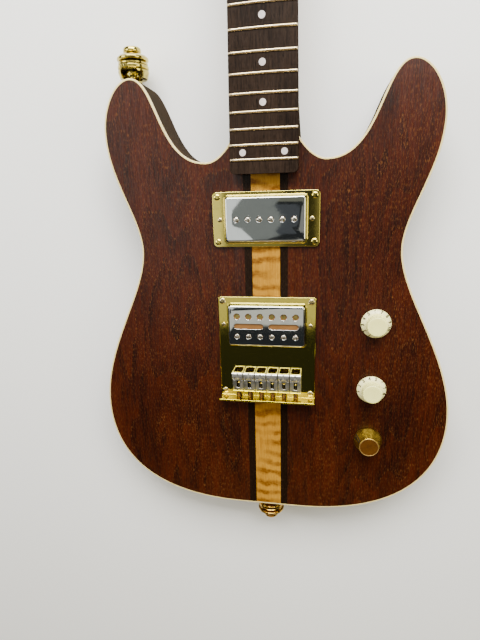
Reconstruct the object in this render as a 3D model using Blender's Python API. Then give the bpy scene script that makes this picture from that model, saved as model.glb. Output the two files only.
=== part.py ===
"""Solid-body electric guitar with a through neck, a hardtail bridge and two covered pickups.

Metres, +Z up. The guitar lies on its back: X points to the treble side, Y to the headstock and
Z out of the front. X = 0 is the centre line, Y = 0 the line of the saddles and Z = 0 the flat
back of the body.
"""

import math

import bmesh
import bpy
from mathutils import Matrix, Vector
from mathutils.geometry import interpolate_bezier

# Clearances
GAP = 0.0003
SLIDING_GAP = 0.0005
PICKUP_WINDOW_GAP = 0.0006
CUT_PAST = 0.010
BORE_OVERRUN = 0.005

# Body
BODY_THICKNESS = 0.0445
CUTAWAY_START_Y = 0.208
CUTAWAY_FLOOR = (0.0515, 0.1907)
HORN_TIP = (0.1148, 0.2604)
UPPER_BOUT = (0.1415, 0.2165)
WAIST = (0.1154, 0.116)
LOWER_BOUT = (0.1646, -0.041)
TAIL_Y = -0.145
BINDING_WIDTH = 0.0018
BINDING_HEIGHT = 0.003
REBATE_OUTSET = 0.002

# Through neck and its laminations
NECK_BLOCK_HALF = 0.0285
CENTRE_HALF = 0.0124
STRIPE_WIDTH = 0.0068
NECK_RISE = 0.0047
RAISED_START_Y = 0.185
STEP_SLOPE = 0.0008
HEEL_START_Y = 0.198
HEEL_LENGTH = 0.056
SHAFT_DEPTH_HEEL = 0.0185
SHAFT_DEPTH_NUT = 0.016
SHAFT_SIDE = 0.004
SHAFT_ROUNDNESS = 2.3

# Fretboard, frets and nut
SCALE_LENGTH = 0.762
FRET_COUNT = 24
BOARD_THICKNESS = 0.006
BOARD_END_Y = 0.1795
BOARD_END_HALF = 0.0285
BOARD_NUT_HALF = 0.021
BOARD_CORNER_RADIUS = 0.004
BOARD_CROWN_RADIUS = 0.305
FRET_HEIGHT = 0.0011
FRET_FOOT_WIDTH = 0.0026
FRET_CROWN_WIDTH = 0.0012
NUT_THICKNESS = 0.005
NUT_HEIGHT_OVER_BOARD = 0.0022
NUT_SLOT_WIDTH = 0.0012
NUT_SLOT_DEPTH = 0.0012
STRING_COUNT = 6
NUT_STRING_PITCH = 0.0068

# Headstock
HEAD_DROP = 0.0045
HEAD_DROP_LENGTH = 0.014
HEAD_THICKNESS = 0.014
HEAD_LENGTH = 0.165
HEAD_HALF = 0.039
HEAD_TIP_HALF = 0.035
HEAD_FLARE_LENGTH = 0.034
HEAD_CORNER_RADIUS = 0.010
VOLUTE_LENGTH = 0.034

# Truss rod
ROD_RADIUS = 0.0027
ROD_CENTRE_DEPTH = 0.0065
ROD_START_Y = 0.204
ROD_NUT_RADIUS = 0.004
ROD_NUT_LENGTH = 0.012
ROD_POCKET_LENGTH = 0.026
ROD_POCKET_HALF = 0.0056
ROD_KEY_RADIUS = 0.0018
ROD_KEY_DEPTH = 0.005

# Tuners
TUNERS_A_SIDE = 3
TUNER_FIRST_OFFSET = 0.034
TUNER_PITCH = 0.042
TUNER_POST_X = 0.0268
TUNER_POST_RADIUS = 0.003
TUNER_POST_WAIST = 0.0023
TUNER_POST_HEIGHT = 0.016
TUNER_POST_DEPTH = 0.006
TUNER_SLEEVE_WALL = 0.0011
TUNER_FLANGE_RADIUS = 0.0058
TUNER_FLANGE_THICKNESS = 0.0015
TUNER_HOUSING_WIDTH = 0.014
TUNER_HOUSING_LENGTH = 0.023
TUNER_HOUSING_HEIGHT = 0.0095
TUNER_HOUSING_BACKSET = 0.0052
TUNER_HOUSING_CORNER = 0.002
TUNER_SLEEVE_ROOT = 0.002
TUNER_WORM_OFFSET = 0.0085
TUNER_SHAFT_RADIUS = 0.0019
TUNER_SHAFT_INSIDE = 0.009
TUNER_BUTTON_START = 0.0062
TUNER_BUTTON_LENGTH = 0.0165
TUNER_BUTTON_HALF_WIDTH = 0.0095
TUNER_BUTTON_HALF_THICKNESS = 0.0036
TUNER_BUTTON_FORM = ((0.08, 0.62, 0.75), (0.35, 0.95, 1.0), (0.75, 1.0, 0.95), (1.0, 0.72, 0.55))

# Pickups
PICKUP_ROUT_HALF = 0.0430
PICKUP_ROUT_HALF_LENGTH = 0.0200
PICKUP_ROUT_DEPTH = 0.024
COVER_WALL = 0.0008
COVER_HEIGHT = 0.016
COVER_CORNER_RADIUS = 0.0025
BASEPLATE_THICKNESS = 0.0015
EAR_HALF_WIDTH = 0.0425
EAR_HALF_LENGTH = 0.005
EAR_THICKNESS = 0.0011
POLE_RADIUS = 0.0022
POLE_HEIGHT = 0.0005
POLE_LENGTH = 0.006
HEIGHT_SCREW_X = 0.0400
HEIGHT_SCREW_RADIUS = 0.0012
HEIGHT_SCREW_HEAD_RADIUS = 0.0022
HEIGHT_SCREW_HEAD = 0.0012
HEIGHT_SCREW_BITE = 0.0005
HEIGHT_SCREW_LENGTH = 0.018
NECK_PICKUP_Y = 0.1422
NECK_COVER_SIZE = (0.069, 0.0379)
NECK_COVER_RISE = 0.006
NECK_POLE_PITCH = 0.010
RING_SIZE = (0.0927, 0.047)
RING_THICKNESS = 0.0022
RING_CORNER_RADIUS = 0.004
BRIDGE_PICKUP_Y = 0.0473
BRIDGE_COVER_SIZE = (0.0695, 0.0376)
BRIDGE_COVER_RISE = 0.007
BRIDGE_POLE_PITCH = 0.0107
BRIDGE_POLE_ROW = -0.010
COVER_WINDOW_ROW = 0.0087
COVER_WINDOW_RADIUS = 0.0027
COVER_SLOT_ROW = -0.0005
COVER_SLOT_SIZE = (0.0268, 0.005)
COVER_SLOT_CORNER = 0.00225
COVER_SLOT_BAR = 0.0052

# Bridge
PLATE_HALF_WIDTH = 0.0446
PLATE_TOP_Y = 0.0734
PLATE_REAR_Y = -0.0249
PLATE_THICKNESS = 0.0016
PLATE_CORNER_RADIUS = 0.002
PLATE_LIP_WIDTH = 0.0012
PLATE_LIP_HEIGHT = 0.0009
FLANGE_HEIGHT = 0.014
FLANGE_PROUD = 0.00005
SADDLE_PITCH = 0.0108
SADDLE_WIDTH = 0.0102
SADDLE_FRONT_Y = 0.003
SADDLE_REAR_Y = -0.0175
SADDLE_CREST_HEIGHT = 0.010
SADDLE_DECK_HEIGHT = 0.006
SADDLE_CREST_LENGTH = 0.007
SADDLE_SLOT_WIDTH = 0.0032
SADDLE_SLOT_FLOOR = 0.0022
SADDLE_SLOT_WALL = 0.002
SADDLE_EDGE = 0.001

# Controls: tone, volume and blend
CAVITY_X = (0.080, 0.112)
CAVITY_Y = (-0.080, 0.068)
CAVITY_TOP_WALL = 0.006
COVER_PLATE_THICKNESS = 0.002
COVER_PLATE_MARGIN = 0.004
TONE_KNOB_PLACE = (0.0968, 0.0505)
VOLUME_KNOB_PLACE = (0.0958, -0.0123)
BLEND_KNOB_PLACE = (0.0949, -0.0639)
KNOB_CLEARANCE = 0.0006
SKIRT_RADIUS = 0.01365
SKIRT_HEIGHT = 0.0032
DIAL_RADIUS = 0.0098
DIAL_HEIGHT = 0.0128
DIAL_FILLET = 0.0012
DIAL_EDGE = 0.0008
BELL_RADIUS = 0.0132
BELL_TOP_RADIUS = 0.0094
BELL_HEIGHT = 0.015
BELL_INSET = 0.0006
KNOB_RECESS_RADIUS = 0.0082
KNOB_RECESS_HEIGHT = 0.0036
SHAFT_RADIUS = 0.003
POT_RADIUS = 0.012
POT_HEIGHT = 0.0095
POT_BUSHING_RADIUS = 0.0047
POT_NUT_RADIUS = 0.0065
POT_NUT_HEIGHT = 0.0022
POT_BORE_DEPTH = 0.005
CAPACITOR_RADIUS = 0.0032
CAPACITOR_LENGTH = 0.014
CAPACITOR_OFFSET = 0.006
CAPACITOR_EDGE = 0.001

# Output jack, at the widest point of the treble side
JACK_CUP_RADIUS = 0.0090
JACK_CUP_FLANGE_RADIUS = 0.0125
JACK_CUP_FLANGE = 0.0012
JACK_CUP_DEPTH = 0.011
JACK_CUP_WALL = 0.001
JACK_CUP_EDGE = 0.0008
JACK_BUSHING_RADIUS = 0.0047
JACK_NUT_RADIUS = 0.0068
JACK_NUT_HEIGHT = 0.002
JACK_BODY_RADIUS = 0.0065
JACK_BODY_LENGTH = 0.022
JACK_SOCKET_RADIUS = 0.0034
JACK_SOCKET_DEPTH = 0.018

# Wiring
WIRE_RADIUS = 0.0016
WIRE_BORE_RADIUS = 0.003
WIRE_BORE_X = 0.038
WIRE_Z = 0.0235
WIRE_STEP = 0.008
WIRE_BEND = 0.012
WIRE_DROP = 0.008

# Strap buttons and quick-release locks
HORN_BUTTON_OFFSET = 0.004
BUTTON_RADIUS = 0.007
BUTTON_BASE = 0.0018
BUTTON_SHOULDER = 0.0015
BUTTON_WAIST_RADIUS = 0.0042
BUTTON_HEIGHT = 0.0095
BUTTON_HEAD = 0.0025
BUTTON_EDGE = 0.0008
LOCK_RADIUS = 0.0135
LOCK_MOUTH_RADIUS = 0.0115
LOCK_START = 0.0035
LOCK_TAPER = 0.0045
LOCK_ROOF = 0.0045
LOCK_STEM_RADIUS = 0.0055
LOCK_GROOVE = 0.0021
LOCK_COLLAR_RADIUS = 0.0137
LOCK_COLLAR_LENGTH = 0.0058
LOCK_COLLAR_EDGE = 0.001
LOCK_END = 0.0006
PIN_RADIUS = 0.0015
PIN_DEPTH_IN_BUTTON = 0.005
PIN_KNOB_RADIUS = 0.00775
PIN_KNOB_HEIGHT = 0.005
PIN_KNOB_EDGE = 0.0009
PIN_NECK_RADIUS = 0.006
PIN_NECK_HEIGHT = 0.001

# How finely round shapes are faceted
SMALL_SIDES = 8
PART_SIDES = 12
CUP_SIDES = 16
ROUND_SIDES = 24
CORNER_STEPS = 3

# Places that follow from the sizes above
NECK_TOP = BODY_THICKNESS + NECK_RISE
BOARD_BOTTOM = NECK_TOP + GAP
BOARD_TOP = BOARD_BOTTOM + BOARD_THICKNESS
NUT_FRONT_Y = SCALE_LENGTH + GAP
NUT_END_Y = NUT_FRONT_Y + NUT_THICKNESS
HEAD_FACE = NECK_TOP - HEAD_DROP
HEAD_BACK = HEAD_FACE - HEAD_THICKNESS
HEAD_TIP_Y = NUT_END_Y + HEAD_LENGTH
HEEL_END_Y = HEEL_START_Y + HEEL_LENGTH
VOLUTE_START_Y = NUT_FRONT_Y - VOLUTE_LENGTH / 2
STRIPE_INNER = CENTRE_HALF + GAP
STRIPE_OUTER = STRIPE_INNER + STRIPE_WIDTH
SIDE_INNER = STRIPE_OUTER + GAP
WING_INNER = NECK_BLOCK_HALF + GAP
BINDING_BOTTOM = BODY_THICKNESS - BINDING_HEIGHT
PLATE_BOTTOM = BODY_THICKNESS + GAP
PLATE_TOP = PLATE_BOTTOM + PLATE_THICKNESS
RING_TOP = PLATE_BOTTOM + RING_THICKNESS
ROUT_FLOOR = BODY_THICKNESS - PICKUP_ROUT_DEPTH
CAVITY_CEILING = BODY_THICKNESS - CAVITY_TOP_WALL
ROD_Z = NECK_TOP - ROD_CENTRE_DEPTH
ROD_END_Y = NUT_END_Y + 2 * GAP
MID_DEPTH = BODY_THICKNESS / 2
SLEEVE_BORE = TUNER_POST_RADIUS + GAP
SLEEVE_RADIUS = SLEEVE_BORE + TUNER_SLEEVE_WALL
TUNER_SHAFT_Z = HEAD_BACK - GAP - TUNER_HOUSING_HEIGHT / 2

MATERIALS = {
    "walnut": ((0.085, 0.030, 0.014), 0.42, 0.0),
    "maple": ((0.50, 0.29, 0.10), 0.38, 0.0),
    "dark_stripe": ((0.022, 0.015, 0.011), 0.45, 0.0),
    "rosewood": ((0.055, 0.037, 0.033), 0.55, 0.0),
    "cream_binding": ((0.78, 0.68, 0.50), 0.35, 0.0),
    "nut_bone": ((0.80, 0.74, 0.60), 0.4, 0.0),
    "gold": ((0.83, 0.60, 0.22), 0.16, 1.0),
    "chrome": ((0.78, 0.79, 0.80), 0.08, 1.0),
    "steel": ((0.55, 0.55, 0.54), 0.35, 1.0),
    "bobbin": ((0.52, 0.27, 0.13), 0.5, 0.0),
    "knob_cream": ((0.82, 0.78, 0.68), 0.35, 0.0),
    "black_plastic": ((0.02, 0.02, 0.02), 0.4, 0.0),
    "capacitor_orange": ((0.65, 0.22, 0.05), 0.4, 0.0),
}


def clear_scene():
    """Remove whatever the scene holds."""
    for old in list(bpy.data.objects):
        bpy.data.objects.remove(old, do_unlink=True)


def material(name):
    """Return the named Principled material, made on first use."""
    found = bpy.data.materials.get(name)
    if found:
        return found
    colour, roughness, metallic = MATERIALS[name]
    made = bpy.data.materials.new(name)
    made.use_nodes = True
    shader = made.node_tree.nodes["Principled BSDF"]
    shader.inputs["Base Color"].default_value = (*colour, 1.0)
    shader.inputs["Roughness"].default_value = roughness
    shader.inputs["Metallic"].default_value = metallic
    made.diffuse_color = (*colour, 1.0)
    return made


def closed_mesh(name, points, faces):
    """Build a mesh whose faces all point outwards."""
    mesh = bpy.data.meshes.new(name)
    shape = bmesh.new()
    verts = [shape.verts.new(point) for point in points]
    for face in faces:
        shape.faces.new([verts[index] for index in face])
    bmesh.ops.recalc_face_normals(shape, faces=shape.faces)
    shape.to_mesh(mesh)
    shape.free()
    return mesh


def place(name, mesh, finish, location=(0, 0, 0), rotation=(0, 0, 0), smooth=False):
    """Add an object for a sub-part, with its material."""
    part = bpy.data.objects.new(name, mesh)
    part.location = location
    part.rotation_euler = rotation
    bpy.context.scene.collection.objects.link(part)
    if finish and not mesh.materials:
        mesh.materials.append(material(finish))
    if smooth:
        mesh.shade_smooth()
        mesh.set_sharp_from_angle(angle=math.radians(35))
    return part


def hidden(name, mesh, location=(0, 0, 0), rotation=(0, 0, 0)):
    """Add a cutter, which is never rendered."""
    cutter = place(name, mesh, None, location, rotation)
    cutter.hide_render = True
    cutter.display_type = "WIRE"
    return cutter


def boolean(part, tool, operation="DIFFERENCE"):
    """Cut the tool from a part, or join it on."""
    step = part.modifiers.new(f"{operation.lower()} {tool.name}", "BOOLEAN")
    step.operation = operation
    step.object = tool
    step.solver = "EXACT"


def baked(part, name):
    """Return a part's mesh with its modifiers applied, and remove the part."""
    bpy.context.view_layer.update()
    graph = bpy.context.evaluated_depsgraph_get()
    mesh = bpy.data.meshes.new_from_object(part.evaluated_get(graph))
    mesh.name = name
    bpy.data.objects.remove(part, do_unlink=True)
    return mesh


def loft(name, rings):
    """Close a solid over rings that all have the same number of points."""
    count = len(rings[0])
    points = [point for ring in rings for point in ring]
    faces = [list(range(count)), [len(points) - 1 - index for index in range(count)]]
    for level in range(len(rings) - 1):
        low = level * count
        for index in range(count):
            after = (index + 1) % count
            faces.append([low + index, low + after, low + count + after, low + count + index])
    return closed_mesh(name, points, faces)


def framed(name, rings):
    """Close a solid over rings that run round it and meet again, such as a plate round a window."""
    count = len(rings[0])
    points = [point for ring in rings for point in ring]
    faces = []
    for level in range(len(rings)):
        low, high = level * count, (level + 1) % len(rings) * count
        for index in range(count):
            after = (index + 1) % count
            faces.append([low + index, low + after, high + after, high + index])
    return closed_mesh(name, points, faces)


def turned(name, profile, sides):
    """Turn a profile of (radius, height) round Z. It ends on the axis, or closes on itself as a tube."""
    on_axis = profile[0][0] == 0
    points, rows = [], []
    for radius, height in profile:
        if radius == 0:
            rows.append([len(points)] * sides)
            points.append((0, 0, height))
            continue
        rows.append(list(range(len(points), len(points) + sides)))
        for side in range(sides):
            angle = math.tau * side / sides
            points.append((radius * math.cos(angle), radius * math.sin(angle), height))
    faces = []
    pairs = zip(rows, rows[1:] if on_axis else rows[1:] + rows[:1])
    for low, high in pairs:
        for side in range(sides):
            after = (side + 1) % sides
            corners = [low[side], low[after], high[after], high[side]]
            faces.append(list(dict.fromkeys(corners)))
    return closed_mesh(name, points, faces)


def block(name, low, high):
    """A box between two corners."""
    corners = [(low[0], low[1]), (high[0], low[1]), (high[0], high[1]), (low[0], high[1])]
    return loft(name, [[(x, y, z) for x, y in corners] for z in (low[2], high[2])])


def rounded(half_x, half_y, radius, centre=(0, 0), steps=CORNER_STEPS):
    """The points of a rectangle with round corners, each corner an arc."""
    points = []
    for quarter, (side_x, side_y) in enumerate(((1, 1), (-1, 1), (-1, -1), (1, -1))):
        for step in range(steps):
            angle = math.pi / 2 * (quarter + step / (steps - 1))
            x = side_x * (half_x - radius) + radius * math.cos(angle)
            y = side_y * (half_y - radius) + radius * math.sin(angle)
            points.append((centre[0] + x, centre[1] + y))
    return points


def at_height(outline, height):
    """Lift a flat outline to a height."""
    return [(x, y, height) for x, y in outline]


def cylinders(name, places, radius, low, high, sides=SMALL_SIDES):
    """Several upright cylinders in one mesh, for a tool that cuts or joins a row."""
    points, faces = [], []
    for x, y in places:
        first = len(points)
        for height in (low, high):
            for side in range(sides):
                angle = math.tau * (side + 0.5) / sides
                points.append((x + radius * math.cos(angle), y + radius * math.sin(angle), height))
        faces.append([first + side for side in range(sides)])
        faces.append([first + sides + side for side in range(sides)])
        for side in range(sides):
            after = (side + 1) % sides
            faces.append([first + side, first + after, first + sides + after, first + sides + side])
    return closed_mesh(name, points, faces)


def smoothstep(value):
    """Ease from 0 to 1."""
    value = min(max(value, 0.0), 1.0)
    return value * value * (3 - 2 * value)


def blend(start, end, share):
    """The value a share of the way from start to end."""
    return start + (end - start) * share


def string_offsets(pitch):
    """Where the strings cross, from bass to treble."""
    return [(index - (STRING_COUNT - 1) / 2) * pitch for index in range(STRING_COUNT)]


def fret_y(number):
    """Distance of a fret from the saddle line, in equal temperament."""
    return SCALE_LENGTH * 2 ** (-number / 12)


def outline_knots():
    """Knots of the treble half of the body: point, heading in degrees, handle before and after."""
    start = (WING_INNER, CUTAWAY_START_Y)
    tail = (WING_INNER, TAIL_Y)
    return [
        (start, -57, 0.0, 0.008),
        (CUTAWAY_FLOOR, 0, 0.010, 0.042),
        (HORN_TIP, 0, 0.024, 0.013),
        (UPPER_BOUT, -90, 0.024, 0.039),
        (WAIST, -90, 0.029, 0.0395),
        (LOWER_BOUT, -90, 0.062, 0.0605),
        (tail, 180, 0.0935, 0.0),
    ]


def body_outline(inset=0.0):
    """Points of the treble half outline from the neck to the tail, moved inwards by the inset."""
    samples = (4, 9, 8, 9, 9, 13)
    knots = outline_knots()
    path = []
    for (before, after), count in zip(zip(knots, knots[1:]), samples):
        (start, heading, _, reach), (end, final, back, _) = before, after
        leave = Vector((math.cos(math.radians(heading)), math.sin(math.radians(heading)), 0))
        arrive = Vector((math.cos(math.radians(final)), math.sin(math.radians(final)), 0))
        first, last = Vector((*start, 0)), Vector((*end, 0))
        curve = interpolate_bezier(first, first + reach * leave, last - back * arrive, last, count)
        path.extend(curve[:-1] if after is not knots[-1] else curve)
    moved = []
    for index, point in enumerate(path):
        ahead = path[min(index + 1, len(path) - 1)]
        behind = path[max(index - 1, 0)]
        along = (ahead - behind).normalized()
        normal = Vector((along.y, -along.x, 0))
        moved.append(point + inset * normal)
    heading = (path[1] - path[0]).normalized()
    moved[0] = Vector((WING_INNER, path[0].y - inset / heading.x, 0))
    moved[-1] = Vector((WING_INNER, TAIL_Y + inset, 0))
    return [(point.x, point.y) for point in moved]


def mirrored(outline):
    """The same outline on the bass side."""
    return [(-x, y) for x, y in outline]


def edge_strip(name, outset, inset, low, high):
    """A strip along the front edge, from the bass side of the neck round the tail to the treble side."""
    outer, inner = body_outline(-outset), body_outline(inset)
    outer_path = mirrored(outer) + outer[::-1]
    inner_path = mirrored(inner) + inner[::-1]
    rings = []
    for outside, inside in zip(outer_path, inner_path):
        rings.append([(*outside, low), (*outside, high), (*inside, high), (*inside, low)])
    return loft(name, rings)


def make_cutters():
    """Tools for the routs and bores in the wood, by name."""
    above = NECK_TOP + CUT_PAST
    rebate = edge_strip("rebate", REBATE_OUTSET, BINDING_WIDTH + GAP, BINDING_BOTTOM - GAP, above)
    cutters = {"rebate": hidden("rebate", rebate)}
    for name, centre in (("neck_rout", NECK_PICKUP_Y), ("bridge_rout", BRIDGE_PICKUP_Y)):
        low = (-PICKUP_ROUT_HALF, centre - PICKUP_ROUT_HALF_LENGTH, ROUT_FLOOR)
        high = (PICKUP_ROUT_HALF, centre + PICKUP_ROUT_HALF_LENGTH, above)
        cutters[name] = hidden(name, block(name, low, high))
    cavity_low = (CAVITY_X[0], CAVITY_Y[0], -CUT_PAST)
    cavity_high = (CAVITY_X[1], CAVITY_Y[1], CAVITY_CEILING)
    cutters["cavity"] = hidden("cavity", block("cavity", cavity_low, cavity_high))
    margin = COVER_PLATE_MARGIN + GAP
    recess_low = (CAVITY_X[0] - margin, CAVITY_Y[0] - margin, -CUT_PAST)
    recess_high = (CAVITY_X[1] + margin, CAVITY_Y[1] + margin, COVER_PLATE_THICKNESS + GAP)
    cutters["recess"] = hidden("recess", block("recess", recess_low, recess_high))
    knobs = (TONE_KNOB_PLACE, VOLUME_KNOB_PLACE, BLEND_KNOB_PLACE)
    holes = cylinders("pot_holes", knobs, POT_BUSHING_RADIUS + 2 * GAP, MID_DEPTH, above, PART_SIDES)
    cutters["pot_holes"] = hidden("pot_holes", holes)
    bore_start = CAVITY_X[0] + BORE_OVERRUN
    jack = cylinders("jack_bore", [(0, 0)], JACK_CUP_RADIUS + GAP, 0, LOWER_BOUT[0], CUP_SIDES)
    jack_place = (CAVITY_X[1] - BORE_OVERRUN, LOWER_BOUT[1], MID_DEPTH)
    cutters["jack_bore"] = hidden("jack_bore", jack, jack_place, (0, math.pi / 2, 0))
    wire_x = cylinders("wire_bore_x", [(0, 0)], WIRE_BORE_RADIUS, 0, bore_start - WIRE_BORE_X)
    wire_place = (WIRE_BORE_X, BRIDGE_PICKUP_Y, WIRE_Z)
    cutters["wire_bore_x"] = hidden("wire_bore_x", wire_x, wire_place, (0, math.pi / 2, 0))
    wire_y = cylinders("wire_bore_y", [(0, 0)], WIRE_BORE_RADIUS, 0, NECK_PICKUP_Y - BRIDGE_PICKUP_Y)
    cutters["wire_bore_y"] = hidden("wire_bore_y", wire_y, wire_place, (-math.pi / 2, 0, 0))
    channel_half = ROD_RADIUS + 2 * GAP
    channel_low = (-channel_half, ROD_START_Y - GAP, ROD_Z - ROD_RADIUS - GAP)
    channel_high = (channel_half, NUT_END_Y + BORE_OVERRUN, above)
    cutters["rod_channel"] = hidden("rod_channel", block("rod_channel", channel_low, channel_high))
    pocket_low = (-ROD_POCKET_HALF, NUT_END_Y + GAP, ROD_Z - ROD_NUT_RADIUS - GAP)
    pocket_high = (ROD_POCKET_HALF, NUT_END_Y + ROD_POCKET_LENGTH, above)
    cutters["rod_pocket"] = hidden("rod_pocket", block("rod_pocket", pocket_low, pocket_high))
    for side, name in ((-1, "bass_tuner_holes"), (1, "treble_tuner_holes")):
        posts = [(side * TUNER_POST_X, y) for y in tuner_rows()]
        tool = cylinders(name, posts, SLEEVE_RADIUS + GAP, HEAD_BACK - CUT_PAST, above, PART_SIDES)
        cutters[name] = hidden(name, tool)
    return cutters


def make_wings(cutters):
    """The two walnut wings, glued to the sides of the through neck."""
    front_cuts = ("rebate", "neck_rout", "bridge_rout")
    inside_cuts = ("wire_bore_y", "wire_bore_x", "cavity", "recess", "pot_holes", "jack_bore")
    treble_outline = body_outline()
    for word, outline, cuts in (
        ("bass", mirrored(treble_outline), front_cuts),
        ("treble", treble_outline, front_cuts + inside_cuts),
    ):
        name = f"body_wing_{word}"
        rings = [at_height(outline, height) for height in (0.0, BODY_THICKNESS)]
        wing = place(name, loft(name, rings), "walnut")
        for cut in cuts:
            boolean(wing, cutters[cut])


def make_binding():
    """The cream strip in the rebate."""
    strip = edge_strip("body_binding", 0.0, BINDING_WIDTH, BINDING_BOTTOM, BODY_THICKNESS)
    place("body_binding", strip, "cream_binding")


def neck_half_width(y):
    """Half the width of the through neck and headstock."""
    if y <= CUTAWAY_START_Y:
        return NECK_BLOCK_HALF
    if y <= NUT_END_Y:
        return board_half_width(min(y, SCALE_LENGTH))
    flare = smoothstep((y - NUT_END_Y) / HEAD_FLARE_LENGTH)
    taper = (y - NUT_END_Y) / HEAD_LENGTH
    straight = blend(HEAD_HALF, HEAD_TIP_HALF, taper)
    left = HEAD_TIP_Y - y
    if left < HEAD_CORNER_RADIUS:
        drop = HEAD_CORNER_RADIUS - left
        straight -= HEAD_CORNER_RADIUS - math.sqrt(max(HEAD_CORNER_RADIUS**2 - drop**2, 0.0))
    return blend(BOARD_NUT_HALF, straight, flare)


def board_half_width(y):
    """Half the width of the fretboard, which tapers evenly to the nut."""
    share = (y - BOARD_END_Y) / (SCALE_LENGTH - BOARD_END_Y)
    return blend(BOARD_END_HALF, BOARD_NUT_HALF, share)


def neck_back(x, y):
    """Height of the back of the neck: square in the body, round on the shaft, flat at the head."""
    heel = smoothstep((y - HEEL_START_Y) / HEEL_LENGTH)
    head = smoothstep((y - VOLUTE_START_Y) / VOLUTE_LENGTH)
    along = (y - HEEL_END_Y) / (SCALE_LENGTH - HEEL_END_Y)
    shaft = blend(SHAFT_DEPTH_HEEL, SHAFT_DEPTH_NUT, min(max(along, 0.0), 1.0))
    depth = blend(blend(NECK_TOP, shaft, heel), NECK_TOP - HEAD_BACK, head)
    side = blend(blend(NECK_TOP, SHAFT_SIDE, min(1.0, 1.5 * heel)), NECK_TOP - HEAD_BACK, head)
    across = min(abs(x) / neck_half_width(y), 1.0)
    bulge = (1 - across**SHAFT_ROUNDNESS) ** (1 / SHAFT_ROUNDNESS)
    return NECK_TOP - side - max(depth - side, 0.0) * bulge


def neck_stations():
    """Places along the through neck as (y, height of the front face)."""
    stations = [
        (TAIL_Y, BODY_THICKNESS),
        (RAISED_START_Y, BODY_THICKNESS),
        (RAISED_START_Y + STEP_SLOPE, NECK_TOP),
        (HEEL_START_Y, NECK_TOP),
    ]
    heel_steps, head_steps, corner_steps = 7, 6, 4
    for step in range(1, heel_steps + 1):
        stations.append((HEEL_START_Y + HEEL_LENGTH * step / heel_steps, NECK_TOP))
    stations.append((blend(HEEL_END_Y, SCALE_LENGTH, 0.5), NECK_TOP))
    stations.append((VOLUTE_START_Y, NECK_TOP))
    stations.append((NUT_FRONT_Y, NECK_TOP))
    stations.append((NUT_END_Y, NECK_TOP))
    for step in range(1, head_steps + 1):
        y = NUT_END_Y + HEAD_FLARE_LENGTH * step / head_steps
        drop = smoothstep((y - NUT_END_Y) / HEAD_DROP_LENGTH)
        stations.append((y, blend(NECK_TOP, HEAD_FACE, drop)))
    for step in range(corner_steps + 1):
        turn = math.pi / 2 * step / corner_steps
        y = HEAD_TIP_Y - HEAD_CORNER_RADIUS * (1 - math.sin(turn))
        stations.append((y, HEAD_FACE))
    return stations


def lamination(name, finish, inner, outer, steps):
    """A strip of the through neck between two distances from the centre line."""
    rings = []
    for y, top in neck_stations():
        edge = outer if outer is not None else math.copysign(neck_half_width(y), inner)
        ring = [(inner, y, top), (edge, y, top)]
        for step in range(steps + 1):
            x = blend(edge, inner, step / steps)
            ring.append((x, y, neck_back(x, y)))
        rings.append(ring)
    return place(name, loft(name, rings), finish)


def make_neck(cutters):
    """Five strips side by side: maple centre, two dark stripes and two walnut sides."""
    routs = ("rebate", "neck_rout", "bridge_rout")
    centre = lamination("neck_centre", "maple", -CENTRE_HALF, CENTRE_HALF, 4)
    for name in (*routs, "rod_channel", "rod_pocket"):
        boolean(centre, cutters[name])
    for side, word in ((-1, "bass"), (1, "treble")):
        stripe = lamination(
            f"neck_stripe_{word}", "dark_stripe", side * STRIPE_INNER, side * STRIPE_OUTER, 2
        )
        outer = lamination(f"neck_side_{word}", "walnut", side * SIDE_INNER, None, 3)
        for strip in (stripe, outer):
            for name in routs:
                boolean(strip, cutters[name])
        boolean(outer, cutters[f"{word}_tuner_holes"])


def make_fretboard():
    """The board with its frets: the crown of each fret is a ridge across it."""
    stations = []
    for step in range(4):
        turn = math.pi / 2 * step / 3
        y = BOARD_END_Y + BOARD_CORNER_RADIUS * (1 - math.cos(turn))
        narrowing = BOARD_CORNER_RADIUS * (1 - math.sin(turn))
        stations.append((y, board_half_width(y) - narrowing, 0.0))
    foot, crown = FRET_FOOT_WIDTH / 2, FRET_CROWN_WIDTH / 2
    for number in range(FRET_COUNT, 0, -1):
        middle = fret_y(number)
        for offset, rise in ((-foot, 0), (-crown, FRET_HEIGHT), (crown, FRET_HEIGHT), (foot, 0)):
            stations.append((middle + offset, board_half_width(middle + offset), rise))
    stations.append((SCALE_LENGTH, BOARD_NUT_HALF, 0.0))
    rings = []
    arc_steps = 4
    for y, half, rise in stations:
        ring = [(-half, y, BOARD_BOTTOM), (half, y, BOARD_BOTTOM)]
        for step in range(arc_steps + 1):
            x = half * (1 - 2 * step / arc_steps)
            ring.append((x, y, BOARD_TOP - x * x / (2 * BOARD_CROWN_RADIUS) + rise))
        rings.append(ring)
    place("fretboard", loft("fretboard", rings), "rosewood")


def make_nut():
    """The nut, with a slot for each string."""
    half = BOARD_NUT_HALF
    bottom, top = NECK_TOP + GAP, BOARD_TOP + NUT_HEIGHT_OVER_BOARD
    profile = [(-half, bottom), (half, bottom), (half, top - NUT_SLOT_DEPTH)]
    for x in reversed(string_offsets(NUT_STRING_PITCH)):
        profile.append((x + NUT_SLOT_WIDTH / 2, top))
        profile.append((x, top - NUT_SLOT_DEPTH))
        profile.append((x - NUT_SLOT_WIDTH / 2, top))
    profile.append((-half, top - NUT_SLOT_DEPTH))
    rings = [[(x, y, z) for x, z in profile] for y in (NUT_FRONT_Y, NUT_END_Y)]
    place("nut", loft("nut", rings), "nut_bone")


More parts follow.
